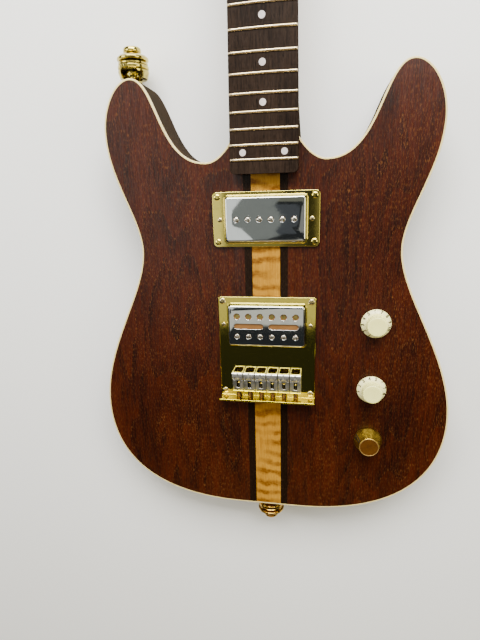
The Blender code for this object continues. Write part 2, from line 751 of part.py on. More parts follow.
def make_truss_rod():
    """The steel rod in its channel under the board, and the nut that tightens it."""
    length = ROD_END_Y - ROD_START_Y
    rod = turned("truss_rod", [(0, 0), (ROD_RADIUS, 0), (ROD_RADIUS, length), (0, length)], SMALL_SIDES)
    place("truss_rod", rod, "steel", (0, ROD_START_Y, ROD_Z), (-math.pi / 2, 0, 0))
    profile = [
        (0, 0),
        (ROD_NUT_RADIUS, 0),
        (ROD_NUT_RADIUS, ROD_NUT_LENGTH),
        (ROD_KEY_RADIUS, ROD_NUT_LENGTH),
        (ROD_KEY_RADIUS, ROD_NUT_LENGTH - ROD_KEY_DEPTH),
        (0, ROD_NUT_LENGTH - ROD_KEY_DEPTH),
    ]
    hexagon = turned("truss_rod_nut", profile, 6)
    place("truss_rod_nut", hexagon, "steel", (0, ROD_END_Y + GAP, ROD_Z), (-math.pi / 2, 0, 0))


def tuner_rows():
    """Distance of each row of tuners from the saddle line, nearest the nut first."""
    first = NUT_END_Y + TUNER_FIRST_OFFSET
    return [first + TUNER_PITCH * row for row in range(TUNERS_A_SIDE)]


def tuner_places():
    """Side and distance of each tuner, from the lowest string to the highest."""
    rows = tuner_rows()
    return [(-1, y) for y in rows] + [(1, y) for y in reversed(rows)]


def housing_mesh(side):
    """Gear housing on the back of the head, with the sleeve that comes through to the front."""
    top = HEAD_BACK - GAP - HEAD_FACE
    bottom = top - TUNER_HOUSING_HEIGHT
    outer = TUNER_HOUSING_WIDTH / 2
    name = "tuner_housing"
    low_y = -TUNER_HOUSING_BACKSET
    middle = (0, low_y + TUNER_HOUSING_LENGTH / 2)
    outline = rounded(outer, TUNER_HOUSING_LENGTH / 2, TUNER_HOUSING_CORNER, middle)
    case = place(name, loft(name, [at_height(outline, bottom), at_height(outline, top)]), "gold")
    lip = GAP + TUNER_FLANGE_THICKNESS
    sleeve_profile = [
        (0, top - TUNER_SLEEVE_ROOT),
        (SLEEVE_RADIUS, top - TUNER_SLEEVE_ROOT),
        (SLEEVE_RADIUS, GAP),
        (TUNER_FLANGE_RADIUS, GAP),
        (TUNER_FLANGE_RADIUS, lip),
        (0, lip),
    ]
    sleeve = hidden("sleeve", turned("sleeve", sleeve_profile, PART_SIDES))
    floor = -(HEAD_THICKNESS + TUNER_POST_DEPTH + GAP)
    bore_mesh = cylinders("sleeve_bore", [(0, 0)], SLEEVE_BORE, floor, CUT_PAST, PART_SIDES)
    bore = hidden("sleeve_bore", bore_mesh)
    worm = cylinders("worm_bore", [(0, 0)], TUNER_SHAFT_RADIUS + GAP, 0, TUNER_HOUSING_WIDTH)
    start = outer - TUNER_SHAFT_INSIDE - GAP
    worm_place = (side * start, TUNER_WORM_OFFSET, TUNER_SHAFT_Z - HEAD_FACE)
    worm_bore = hidden("worm_bore", worm, worm_place, (0, side * math.pi / 2, 0))
    boolean(case, sleeve, "UNION")
    boolean(case, bore)
    boolean(case, worm_bore)
    mesh = baked(case, f"tuner_housing_{'bass' if side < 0 else 'treble'}")
    for tool in (sleeve, bore, worm_bore):
        bpy.data.objects.remove(tool, do_unlink=True)
    return mesh


def post_mesh():
    """String post, which stands through the sleeve."""
    low = -(HEAD_THICKNESS + TUNER_POST_DEPTH)
    profile = [
        (0, low),
        (TUNER_POST_RADIUS, low),
        (TUNER_POST_RADIUS, 0.35 * TUNER_POST_HEIGHT),
        (TUNER_POST_WAIST, 0.55 * TUNER_POST_HEIGHT),
        (TUNER_POST_WAIST, 0.68 * TUNER_POST_HEIGHT),
        (TUNER_POST_RADIUS, 0.85 * TUNER_POST_HEIGHT),
        (TUNER_POST_RADIUS, TUNER_POST_HEIGHT),
        (0, TUNER_POST_HEIGHT),
    ]
    return turned("tuner_post", profile, PART_SIDES)


def key_mesh():
    """Worm shaft and its button along X, with the origin on the shaft's axis over the post."""
    inside = TUNER_HOUSING_WIDTH / 2 - TUNER_SHAFT_INSIDE
    collar = TUNER_HOUSING_WIDTH / 2 + GAP
    start = TUNER_HOUSING_WIDTH / 2 + TUNER_BUTTON_START
    shaft = TUNER_SHAFT_RADIUS
    sections = [(inside, shaft, shaft), (collar, shaft, shaft), (collar, 1.5 * shaft, 1.5 * shaft)]
    sections.append((start, 1.3 * shaft, 1.3 * shaft))
    for share, width, thickness in TUNER_BUTTON_FORM:
        x = start + TUNER_BUTTON_LENGTH * share
        sections.append((x, TUNER_BUTTON_HALF_WIDTH * width, TUNER_BUTTON_HALF_THICKNESS * thickness))
    rings = []
    for x, half_y, half_z in sections:
        ring = []
        for side in range(PART_SIDES):
            angle = math.tau * side / PART_SIDES
            ring.append((x, half_y * math.cos(angle), half_z * math.sin(angle)))
        rings.append(ring)
    return loft("tuner_key", rings)


def make_tuners():
    """Six tuners, three a side: housing, post and key each."""
    housings = {side: housing_mesh(side) for side in (-1, 1)}
    post, key = post_mesh(), key_mesh()
    for number, (side, y) in enumerate(tuner_places(), start=1):
        x = side * TUNER_POST_X
        turn = 0 if side > 0 else math.pi
        place(f"tuner_housing_{number}", housings[side], "gold", (x, y, HEAD_FACE), smooth=True)
        place(f"tuner_post_{number}", post, "gold", (x, y, HEAD_FACE), smooth=True)
        key_place = (x, y + TUNER_WORM_OFFSET, TUNER_SHAFT_Z)
        place(f"tuner_key_{number}", key, "gold", key_place, (0, 0, turn), smooth=True)


def cup_rings(half_x, half_y, bottom, top, wall):
    """Rings of a cover that is closed on top and open underneath."""
    outer = rounded(half_x, half_y, COVER_CORNER_RADIUS)
    inner = rounded(half_x - wall, half_y - wall, COVER_CORNER_RADIUS - wall)
    soft = rounded(half_x - wall, half_y - wall, COVER_CORNER_RADIUS - wall / 2)
    return [
        at_height(inner, top - wall),
        at_height(inner, bottom),
        at_height(outer, bottom),
        at_height(outer, top - wall),
        at_height(soft, top),
    ]


def make_pickup(word, y, cover_size, rise, pole_places, window_tools):
    """A pickup's cover and the base with the bobbins, pole screws and ears that it is hung by."""
    half_x, half_y = cover_size[0] / 2, cover_size[1] / 2
    top = BODY_THICKNESS + rise
    bottom = top - COVER_HEIGHT
    cover_mesh = loft(f"{word}_pickup_cover", cup_rings(half_x, half_y, bottom, top, COVER_WALL))
    cover = place(f"{word}_pickup_cover", cover_mesh, "chrome", (0, y, 0))
    hole_bottom, hole_top = top - 3 * COVER_WALL, top + CUT_PAST
    holes = cylinders("pole_holes", pole_places, POLE_RADIUS + GAP, hole_bottom, hole_top)
    boolean(cover, hidden(f"{word}_pole_holes", holes, (0, y, 0)))
    for name, mesh in window_tools:
        boolean(cover, hidden(name, mesh, (0, y, 0)))
    plate_top = bottom - GAP
    plate_bottom = plate_top - BASEPLATE_THICKNESS
    plate = rounded(half_x - GAP, half_y - GAP, COVER_CORNER_RADIUS)
    inset = COVER_WALL + SLIDING_GAP
    bobbin = rounded(half_x - inset, half_y - inset, COVER_CORNER_RADIUS - COVER_WALL)
    rings = [at_height(plate, plate_bottom), at_height(plate, plate_top)]
    rings += [at_height(bobbin, plate_top), at_height(bobbin, top - COVER_WALL - GAP)]
    base = place(f"{word}_pickup_base", loft(f"{word}_pickup_base", rings), "bobbin", (0, y, 0))
    poles = cylinders("poles", pole_places, POLE_RADIUS, top - POLE_LENGTH, top + POLE_HEIGHT)
    boolean(base, hidden(f"{word}_poles", poles, (0, y, 0)), "UNION")
    ear_low = plate_bottom + (BASEPLATE_THICKNESS - EAR_THICKNESS) / 2
    ear_top = ear_low + EAR_THICKNESS
    ear_corners = (-EAR_HALF_WIDTH, -EAR_HALF_LENGTH, ear_low), (EAR_HALF_WIDTH, EAR_HALF_LENGTH, ear_top)
    ears = block("ears", *ear_corners)
    boolean(base, hidden(f"{word}_ears", ears, (0, y, 0)), "UNION")
    eyes = [(side * HEIGHT_SCREW_X, 0) for side in (-1, 1)]
    eye_low, eye_high = ear_low - EAR_THICKNESS, ear_top + EAR_THICKNESS
    eye_holes = cylinders("ear_holes", eyes, HEIGHT_SCREW_RADIUS + GAP, eye_low, eye_high)
    boolean(base, hidden(f"{word}_ear_holes", eye_holes, (0, y, 0)))


def join_height_screws(part, word, y, seat):
    """Two screws that stand on the seat and reach down to the pickup's ears."""
    places = [(side * HEIGHT_SCREW_X, y) for side in (-1, 1)]
    low = BODY_THICKNESS - HEIGHT_SCREW_LENGTH
    shanks = cylinders("shanks", places, HEIGHT_SCREW_RADIUS, low, seat + HEIGHT_SCREW_HEAD / 2)
    head_low, head_top = seat - HEIGHT_SCREW_BITE, seat + HEIGHT_SCREW_HEAD
    heads = cylinders("heads", places, HEIGHT_SCREW_HEAD_RADIUS, head_low, head_top)
    boolean(part, hidden(f"{word}_screw_shanks", shanks), "UNION")
    boolean(part, hidden(f"{word}_screw_heads", heads), "UNION")


def make_neck_pickup():
    """The neck pickup in its flat ring."""
    poles = [(x, 0) for x in string_offsets(NECK_POLE_PITCH)]
    make_pickup("neck", NECK_PICKUP_Y, NECK_COVER_SIZE, NECK_COVER_RISE, poles, [])
    outer = rounded(RING_SIZE[0] / 2, RING_SIZE[1] / 2, RING_CORNER_RADIUS, (0, NECK_PICKUP_Y))
    window = rounded(
        NECK_COVER_SIZE[0] / 2 + PICKUP_WINDOW_GAP,
        NECK_COVER_SIZE[1] / 2 + PICKUP_WINDOW_GAP,
        COVER_CORNER_RADIUS,
        (0, NECK_PICKUP_Y),
    )
    rings = [at_height(outer, PLATE_BOTTOM), at_height(outer, RING_TOP)]
    rings += [at_height(window, RING_TOP), at_height(window, PLATE_BOTTOM)]
    ring = place("neck_pickup_ring", framed("neck_pickup_ring", rings), "gold")
    join_height_screws(ring, "neck", NECK_PICKUP_Y, RING_TOP)


def make_bridge_pickup():
    """The bridge pickup, with round windows and two long slots over its second coil."""
    poles = [(x, BRIDGE_POLE_ROW) for x in string_offsets(BRIDGE_POLE_PITCH)]
    windows = [(x, COVER_WINDOW_ROW) for x in string_offsets(BRIDGE_POLE_PITCH)]
    top = BODY_THICKNESS + BRIDGE_COVER_RISE
    low, high = top - 3 * COVER_WALL, top + CUT_PAST
    tools = [("cover_windows", cylinders("cover_windows", windows, COVER_WINDOW_RADIUS, low, high))]
    for side, word in ((-1, "bass"), (1, "treble")):
        centre = (side * (COVER_SLOT_BAR + COVER_SLOT_SIZE[0]) / 2, COVER_SLOT_ROW)
        slot = rounded(COVER_SLOT_SIZE[0] / 2, COVER_SLOT_SIZE[1] / 2, COVER_SLOT_CORNER, centre)
        mesh = loft(f"cover_slot_{word}", [at_height(slot, low), at_height(slot, high)])
        tools.append((f"cover_slot_{word}", mesh))
    make_pickup("bridge", BRIDGE_PICKUP_Y, BRIDGE_COVER_SIZE, BRIDGE_COVER_RISE, poles, tools)


def make_bridge_plate():
    """The plate with its pickup window, raised lip and upright rear flange."""
    middle_y = (PLATE_TOP_Y + PLATE_REAR_Y) / 2
    half_y = (PLATE_TOP_Y - PLATE_REAR_Y) / 2
    outer = rounded(PLATE_HALF_WIDTH, half_y, PLATE_CORNER_RADIUS, (0, middle_y))
    half_window = [size / 2 + PICKUP_WINDOW_GAP for size in BRIDGE_COVER_SIZE]
    centre = (0, BRIDGE_PICKUP_Y)
    window = rounded(*half_window, COVER_CORNER_RADIUS, centre)
    wide = [size + PLATE_LIP_WIDTH for size in half_window]
    lip = rounded(*wide, COVER_CORNER_RADIUS + PLATE_LIP_WIDTH, centre)
    lip_top = PLATE_TOP + PLATE_LIP_HEIGHT
    rings = [
        at_height(outer, PLATE_BOTTOM),
        at_height(outer, PLATE_TOP),
        at_height(lip, PLATE_TOP),
        at_height(lip, lip_top),
        at_height(window, lip_top),
        at_height(window, PLATE_BOTTOM),
    ]
    plate = place("bridge_plate", framed("bridge_plate", rings), "gold")
    flange_low = (-PLATE_HALF_WIDTH, PLATE_REAR_Y - FLANGE_PROUD, PLATE_BOTTOM)
    flange_high = (PLATE_HALF_WIDTH, PLATE_REAR_Y + PLATE_THICKNESS, BODY_THICKNESS + FLANGE_HEIGHT)
    flange = hidden("bridge_flange", block("bridge_flange", flange_low, flange_high))
    boolean(plate, flange, "UNION")
    join_height_screws(plate, "bridge", BRIDGE_PICKUP_Y, PLATE_TOP)


def make_saddles():
    """Six sliding saddles, each with a crest for its string and a slot for its screw."""
    crest_end = SADDLE_FRONT_Y - SADDLE_CREST_LENGTH
    profile = [
        (SADDLE_REAR_Y, 0),
        (SADDLE_FRONT_Y, 0),
        (SADDLE_FRONT_Y, 0.8 * SADDLE_CREST_HEIGHT),
        (0.4 * SADDLE_FRONT_Y, SADDLE_CREST_HEIGHT),
        (-0.4 * SADDLE_FRONT_Y, 0.97 * SADDLE_CREST_HEIGHT),
        (crest_end, SADDLE_DECK_HEIGHT),
        (SADDLE_REAR_Y + SADDLE_EDGE, 0.95 * SADDLE_DECK_HEIGHT),
        (SADDLE_REAR_Y, 0.75 * SADDLE_DECK_HEIGHT),
    ]
    half = SADDLE_WIDTH / 2
    rings = [[(x, y, z) for y, z in profile] for x in (-half, half)]
    body = place("saddle", loft("saddle", rings), "chrome")
    slot_half = SADDLE_SLOT_WIDTH / 2
    slot_low = (-slot_half, SADDLE_REAR_Y + SADDLE_SLOT_WALL, SADDLE_SLOT_FLOOR)
    slot_high = (slot_half, crest_end - SLIDING_GAP, 2 * SADDLE_CREST_HEIGHT)
    slot = hidden("saddle_slot", block("saddle_slot", slot_low, slot_high))
    boolean(body, slot)
    mesh = baked(body, "saddle")
    bpy.data.objects.remove(slot, do_unlink=True)
    for number, x in enumerate(string_offsets(SADDLE_PITCH), start=1):
        place(f"saddle_{number}", mesh, "chrome", (x, 0, PLATE_TOP + GAP))


def knob_profile(outside):
    """Profile of a knob and its shaft, from the shaft's foot to the top of the knob."""
    foot = -(CAVITY_TOP_WALL + POT_BORE_DEPTH - GAP)
    return [
        (0, foot),
        (SHAFT_RADIUS, foot),
        (SHAFT_RADIUS, KNOB_RECESS_HEIGHT),
        (KNOB_RECESS_RADIUS, KNOB_RECESS_HEIGHT),
        (KNOB_RECESS_RADIUS, KNOB_CLEARANCE),
        *outside,
    ]


def make_knobs():
    """Two cream dial knobs with a skirt, and a gold bell knob, each with its shaft."""
    dial = [
        (SKIRT_RADIUS, KNOB_CLEARANCE),
        (SKIRT_RADIUS, KNOB_CLEARANCE + 0.3 * SKIRT_HEIGHT),
        (DIAL_RADIUS + DIAL_FILLET, SKIRT_HEIGHT),
        (DIAL_RADIUS, SKIRT_HEIGHT + DIAL_FILLET),
        (0.96 * DIAL_RADIUS, DIAL_HEIGHT - DIAL_EDGE),
        (0.88 * DIAL_RADIUS, DIAL_HEIGHT),
        (0, DIAL_HEIGHT),
    ]
    bell = [
        (BELL_RADIUS, KNOB_CLEARANCE),
        (BELL_RADIUS, 0.15 * BELL_HEIGHT),
        (blend(BELL_RADIUS, BELL_TOP_RADIUS, 0.35), 0.45 * BELL_HEIGHT),
        (blend(BELL_RADIUS, BELL_TOP_RADIUS, 0.85), 0.85 * BELL_HEIGHT),
        (BELL_TOP_RADIUS, BELL_HEIGHT),
        (0.88 * BELL_TOP_RADIUS, BELL_HEIGHT),
        (0.86 * BELL_TOP_RADIUS, BELL_HEIGHT - BELL_INSET),
        (0, BELL_HEIGHT - BELL_INSET),
    ]
    dial_mesh = turned("dial_knob", knob_profile(dial), ROUND_SIDES)
    bell_mesh = turned("bell_knob", knob_profile(bell), ROUND_SIDES)
    top = BODY_THICKNESS
    place("tone_knob", dial_mesh, "knob_cream", (*TONE_KNOB_PLACE, top), smooth=True)
    place("volume_knob", dial_mesh, "knob_cream", (*VOLUME_KNOB_PLACE, top), smooth=True)
    place("blend_knob", bell_mesh, "gold", (*BLEND_KNOB_PLACE, top), smooth=True)


def make_pots():
    """A potentiometer under each knob, hung from the cavity's ceiling by its bushing and nut."""
    seat = CAVITY_TOP_WALL + GAP
    bore = SHAFT_RADIUS + GAP
    profile = [
        (0, -POT_HEIGHT),
        (POT_RADIUS, -POT_HEIGHT),
        (POT_RADIUS, -GAP),
        (POT_BUSHING_RADIUS, -GAP),
        (POT_BUSHING_RADIUS, seat),
        (POT_NUT_RADIUS, seat),
        (POT_NUT_RADIUS, seat + POT_NUT_HEIGHT),
        (bore, seat + POT_NUT_HEIGHT),
        (bore, -POT_BORE_DEPTH),
        (0, -POT_BORE_DEPTH),
    ]
    mesh = turned("potentiometer", profile, PART_SIDES)
    names = ("tone_pot", "volume_pot", "blend_pot")
    for name, spot in zip(names, (TONE_KNOB_PLACE, VOLUME_KNOB_PLACE, BLEND_KNOB_PLACE)):
        place(name, mesh, "steel", (*spot, CAVITY_CEILING), smooth=True)
    capacitor = [
        (0, 0),
        (0.8 * CAPACITOR_RADIUS, 0),
        (CAPACITOR_RADIUS, CAPACITOR_EDGE),
        (CAPACITOR_RADIUS, CAPACITOR_LENGTH - CAPACITOR_EDGE),
        (0.8 * CAPACITOR_RADIUS, CAPACITOR_LENGTH),
        (0, CAPACITOR_LENGTH),
    ]
    x = TONE_KNOB_PLACE[0] + CAPACITOR_OFFSET
    y = TONE_KNOB_PLACE[1] - CAPACITOR_LENGTH / 2
    z = CAVITY_CEILING - POT_HEIGHT - GAP - CAPACITOR_RADIUS
    mesh = turned("tone_capacitor", capacitor, SMALL_SIDES)
    place("tone_capacitor", mesh, "capacitor_orange", (x, y, z), (-math.pi / 2, 0, 0), smooth=True)


def make_cavity_cover():
    """The plate over the control cavity, flush with the back."""
    margin = COVER_PLATE_MARGIN
    low = (CAVITY_X[0] - margin, CAVITY_Y[0] - margin, 0)
    high = (CAVITY_X[1] + margin, CAVITY_Y[1] + margin, COVER_PLATE_THICKNESS)
    place("control_cover", block("control_cover", low, high), "black_plastic")


def make_jack():
    """The cup let into the treble side, and the jack behind it."""
    surface = LOWER_BOUT[0] + GAP
    wall = JACK_CUP_WALL
    hole = JACK_BUSHING_RADIUS + GAP
    cup = [
        (hole, -JACK_CUP_DEPTH),
        (JACK_CUP_RADIUS, -JACK_CUP_DEPTH),
        (JACK_CUP_RADIUS, 0),
        (JACK_CUP_FLANGE_RADIUS, 0),
        (JACK_CUP_FLANGE_RADIUS, 0.6 * JACK_CUP_FLANGE),
        (JACK_CUP_FLANGE_RADIUS - JACK_CUP_EDGE, JACK_CUP_FLANGE),
        (JACK_CUP_RADIUS - wall, JACK_CUP_FLANGE),
        (JACK_CUP_RADIUS - wall, -JACK_CUP_DEPTH + wall),
        (hole, -JACK_CUP_DEPTH + wall),
    ]
    turn = (0, math.pi / 2, 0)
    centre = (surface, LOWER_BOUT[1], MID_DEPTH)
    place("jack_cup", turned("jack_cup", cup, CUP_SIDES), "gold", centre, turn, smooth=True)
    nut = wall + GAP
    jack = [
        (0, -JACK_BODY_LENGTH),
        (JACK_BODY_RADIUS, -JACK_BODY_LENGTH),
        (JACK_BODY_RADIUS, -GAP),
        (JACK_BUSHING_RADIUS, -GAP),
        (JACK_BUSHING_RADIUS, nut),
        (JACK_NUT_RADIUS, nut),
        (JACK_NUT_RADIUS, nut + JACK_NUT_HEIGHT),
        (JACK_SOCKET_RADIUS, nut + JACK_NUT_HEIGHT),
        (JACK_SOCKET_RADIUS, -JACK_SOCKET_DEPTH),
        (0, -JACK_SOCKET_DEPTH),
    ]
    centre = (surface - JACK_CUP_DEPTH, LOWER_BOUT[1], MID_DEPTH)
    place("output_jack", turned("output_jack", jack, PART_SIDES), "steel", centre, turn, smooth=True)


def wiring_route():
    """Points along the lead from the neck pickup, past the bridge pickup and the pots to the jack."""
    neck_wall = NECK_PICKUP_Y - PICKUP_ROUT_HALF_LENGTH
    bridge_wall = BRIDGE_PICKUP_Y + PICKUP_ROUT_HALF_LENGTH
    jack_rear = LOWER_BOUT[0] + GAP - JACK_CUP_DEPTH - JACK_BODY_LENGTH - GAP
    run_x = CAVITY_X[0] + BORE_OVERRUN
    return [
        (WIRE_BORE_X, neck_wall + WIRE_BEND, WIRE_Z),
        (WIRE_BORE_X, neck_wall, WIRE_Z),
        (WIRE_BORE_X, bridge_wall, WIRE_Z),
        (WIRE_BORE_X, BRIDGE_PICKUP_Y + WIRE_DROP, WIRE_Z),
        (PICKUP_ROUT_HALF, BRIDGE_PICKUP_Y, WIRE_Z),
        (CAVITY_X[0], BRIDGE_PICKUP_Y, WIRE_Z),
        (run_x, BRIDGE_PICKUP_Y - WIRE_BEND, WIRE_Z),
        (run_x, VOLUME_KNOB_PLACE[1], WIRE_Z),
        (run_x + WIRE_DROP / 2, LOWER_BOUT[1] + WIRE_BEND, MID_DEPTH),
        (run_x + WIRE_BEND, LOWER_BOUT[1], MID_DEPTH),
        (CAVITY_X[1], LOWER_BOUT[1], MID_DEPTH),
        (jack_rear, LOWER_BOUT[1], MID_DEPTH),
    ]


def smooth_path(route, step):
    """Points a step apart along a curve through the route's own points."""
    knots = [Vector(point) for point in route]
    path = [knots[0]]
    for index in range(len(knots) - 1):
        start, end = knots[index], knots[index + 1]
        span = (end - start).length
        before = (end - knots[max(index - 1, 0)]).normalized() * span / 3
        after = (knots[min(index + 2, len(knots) - 1)] - start).normalized() * span / 3
        count = max(2, round(span / step) + 1)
        path.extend(interpolate_bezier(start, start + before, end - after, end, count)[1:])
    return path


def make_wiring():
    """The lead that joins pickups, pots and jack, held in its bores all the way."""
    path = smooth_path(wiring_route(), WIRE_STEP)
    curve = bpy.data.curves.new("wiring_loom", "CURVE")
    curve.dimensions = "3D"
    curve.bevel_depth = WIRE_RADIUS
    curve.bevel_resolution = 2
    curve.use_fill_caps = True
    spline = curve.splines.new("POLY")
    spline.points.add(len(path) - 1)
    for point, place_along in zip(spline.points, path):
        point.co = (*place_along, 1.0)
    curve.materials.append(material("black_plastic"))
    loom = bpy.data.objects.new("wiring_loom", curve)
    bpy.context.scene.collection.objects.link(loom)


def strap_meshes():
    """Strap button, lock housing and pull pin, each turned round its own axis."""
    bore = PIN_RADIUS + GAP
    neck_top = BUTTON_HEIGHT - BUTTON_HEAD
    pin_foot = BUTTON_HEIGHT - PIN_DEPTH_IN_BUTTON
    button = [
        (0, 0),
        (BUTTON_RADIUS, 0),
        (BUTTON_RADIUS, BUTTON_BASE),
        (BUTTON_WAIST_RADIUS, BUTTON_BASE + BUTTON_SHOULDER),
        (BUTTON_WAIST_RADIUS, neck_top),
        (BUTTON_RADIUS, neck_top + BUTTON_EDGE),
        (BUTTON_RADIUS, BUTTON_HEIGHT),
        (bore, BUTTON_HEIGHT),
        (bore, pin_foot - GAP),
        (0, pin_foot - GAP),
    ]
    ceiling = BUTTON_HEIGHT + GAP
    inside = BUTTON_RADIUS + SLIDING_GAP
    roof = ceiling + LOCK_ROOF
    collar = roof + LOCK_GROOVE
    collar_top = collar + LOCK_COLLAR_LENGTH
    end = collar_top + LOCK_END
    lock = [
        (inside, LOCK_START),
        (LOCK_MOUTH_RADIUS, LOCK_START),
        (LOCK_RADIUS, LOCK_START + LOCK_TAPER),
        (LOCK_RADIUS, roof),
        (LOCK_STEM_RADIUS, roof),
        (LOCK_STEM_RADIUS, collar),
        (LOCK_COLLAR_RADIUS - LOCK_COLLAR_EDGE, collar),
        (LOCK_COLLAR_RADIUS, collar + LOCK_COLLAR_EDGE),
        (LOCK_COLLAR_RADIUS, collar_top - LOCK_COLLAR_EDGE),
        (LOCK_COLLAR_RADIUS - LOCK_COLLAR_EDGE, collar_top),
        (LOCK_STEM_RADIUS, collar_top),
        (LOCK_STEM_RADIUS, end),
        (bore, end),
        (bore, ceiling),
        (inside, ceiling),
    ]
    seat = end + GAP
    knob = seat + PIN_NECK_HEIGHT
    pin = [
        (0, pin_foot),
        (PIN_RADIUS, pin_foot),
        (PIN_RADIUS, seat),
        (PIN_NECK_RADIUS, seat),
        (PIN_NECK_RADIUS, knob),
        (PIN_KNOB_RADIUS, knob + PIN_KNOB_EDGE),
        (PIN_KNOB_RADIUS, knob + PIN_KNOB_HEIGHT - PIN_KNOB_EDGE),
        (PIN_KNOB_RADIUS - PIN_KNOB_EDGE, knob + PIN_KNOB_HEIGHT),
        (0, knob + PIN_KNOB_HEIGHT),
    ]
    meshes = [turned("strap_button", button, PART_SIDES)]
    shell = place("strap_lock", turned("strap_lock", lock, ROUND_SIDES), "gold")
    mouth_low = (-inside, 0, LOCK_START - BUTTON_BASE)
    mouth = hidden("lock_mouth", block("lock_mouth", mouth_low, (inside, 2 * LOCK_RADIUS, ceiling)))
    boolean(shell, mouth)
    meshes.append(baked(shell, "strap_lock"))
    bpy.data.objects.remove(mouth, do_unlink=True)
    meshes.append(turned("strap_pin", pin, PART_SIDES))
    return meshes


def make_strap_locks():
    """A button with its lock on the tip of the bass horn, and another in the middle of the tail.

    The mouths of both locks face the front.
    """
    meshes = strap_meshes()
    horn = (-HORN_TIP[0] - HORN_BUTTON_OFFSET, HORN_TIP[1] + GAP, MID_DEPTH)
    spots = (
        ("horn", horn, (-math.pi / 2, math.pi, 0)),
        ("tail", (0, TAIL_Y - GAP, MID_DEPTH), (math.pi / 2, 0, 0)),
    )
    for where, spot, turn in spots:
        for word, mesh in zip(("button", "lock", "pin"), meshes):
            place(f"strap_{word}_{where}", mesh, "gold", spot, turn, smooth=True)


def main():
    """Build the guitar, piece by piece."""
    clear_scene()
    cutters = make_cutters()
    make_wings(cutters)
    make_binding()
    make_neck(cutters)
    make_fretboard()
    make_nut()
    make_truss_rod()
    make_tuners()
    make_neck_pickup()
    make_bridge_pickup()
    make_bridge_plate()
    make_saddles()
    make_knobs()
    make_pots()
    make_cavity_cover()
    make_jack()
    make_wiring()
    make_strap_locks()


main()
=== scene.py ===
"""Looks of a through-neck electric guitar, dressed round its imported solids.

Metres, +Z up. The guitar lies on its back with the headstock towards +Y and the treble side
towards +X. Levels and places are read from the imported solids, and sizes that the solids don't
hold are fields of the class that makes the piece.
"""

from __future__ import annotations

import logging
import math
from collections.abc import Callable
from dataclasses import dataclass
from enum import Enum

import bmesh
import bpy
from mathutils import Euler, Matrix, Vector
from mathutils.geometry import interpolate_bezier


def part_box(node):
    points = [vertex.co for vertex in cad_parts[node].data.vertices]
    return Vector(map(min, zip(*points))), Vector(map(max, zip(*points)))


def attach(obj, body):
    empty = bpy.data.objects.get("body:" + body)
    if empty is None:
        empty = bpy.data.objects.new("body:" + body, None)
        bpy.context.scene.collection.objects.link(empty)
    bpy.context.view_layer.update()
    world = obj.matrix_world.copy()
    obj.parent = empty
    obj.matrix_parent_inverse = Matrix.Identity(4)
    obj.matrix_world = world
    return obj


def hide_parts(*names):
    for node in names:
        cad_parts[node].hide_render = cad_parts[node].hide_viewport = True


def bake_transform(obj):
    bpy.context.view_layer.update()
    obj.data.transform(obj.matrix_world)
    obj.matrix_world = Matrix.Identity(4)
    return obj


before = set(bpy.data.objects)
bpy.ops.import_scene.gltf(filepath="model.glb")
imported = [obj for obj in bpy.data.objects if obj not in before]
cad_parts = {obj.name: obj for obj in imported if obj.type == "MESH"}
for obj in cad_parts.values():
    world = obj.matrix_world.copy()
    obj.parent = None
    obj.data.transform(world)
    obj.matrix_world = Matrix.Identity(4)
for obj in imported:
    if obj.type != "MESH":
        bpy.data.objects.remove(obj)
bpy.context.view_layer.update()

LOG = logging.getLogger("guitar")
MAIN_BODY = "guitar_body"
SEAT = 0.0003

Point = tuple[float, float, float]
Outline = list[tuple[float, float]]
Ring = list[Point]
Colour = tuple[float, float, float]
Obj = bpy.types.Object
Socket = bpy.types.NodeSocket


class Side(Enum):
    """The two sides of the centre line."""

    BASS = -1
    TREBLE = 1


class Drive(Enum):
    """What a screwdriver finds in a screw's head."""

    SLOT = "slot"
    CROSS = "cross"
    HEXAGON = "hexagon"


class Way(Enum):
    """How a tool changes a piece."""

    CUT = "DIFFERENCE"
    JOIN = "UNION"


# Mesh building


def blend(start: float, end: float, share: float) -> float:
    """Return the value a share of the way from start to end."""
    return start + (end - start) * share


def smoothstep(value: float) -> float:
    """Ease from 0 to 1."""
    value = min(max(value, 0.0), 1.0)
    return value * value * (3 - 2 * value)


def solid(name: str, points: list[Point], faces: list[list[int]]) -> Obj:
    """Make an object whose faces point outwards.

    Args:
        name: The object's name.
        points: Corners of the solid.
        faces: Corner numbers of each face.

    Returns:
        The new object, linked to the scene.
    """
    shape = bmesh.new()
    verts = [shape.verts.new(point) for point in points]
    for face in faces:
        shape.faces.new([verts[index] for index in face])
    bmesh.ops.recalc_face_normals(shape, faces=shape.faces)
    mesh = bpy.data.meshes.new(name)
    shape.to_mesh(mesh)
    shape.free()
    piece = bpy.data.objects.new(name, mesh)
    bpy.context.scene.collection.objects.link(piece)
    return piece


def loft(name: str, rings: list[Ring], closed: bool = False) -> Obj:
    """Make a solid over rings that all have the same number of points.

    Args:
        name: The object's name.
        rings: The rings, in order.
        closed: Whether the last ring joins the first, as round a window.

    Returns:
        The new object.
    """
    count = len(rings[0])
    points = [point for ring in rings for point in ring]
    faces = []
    if not closed:
        faces = [list(range(count)), [len(points) - 1 - index for index in range(count)]]
    for level in range(len(rings) - (0 if closed else 1)):
        low, high = level * count, (level + 1) % len(rings) * count
        for index in range(count):
            after = (index + 1) % count
            faces.append([low + index, low + after, high + after, high + index])
    return solid(name, points, faces)


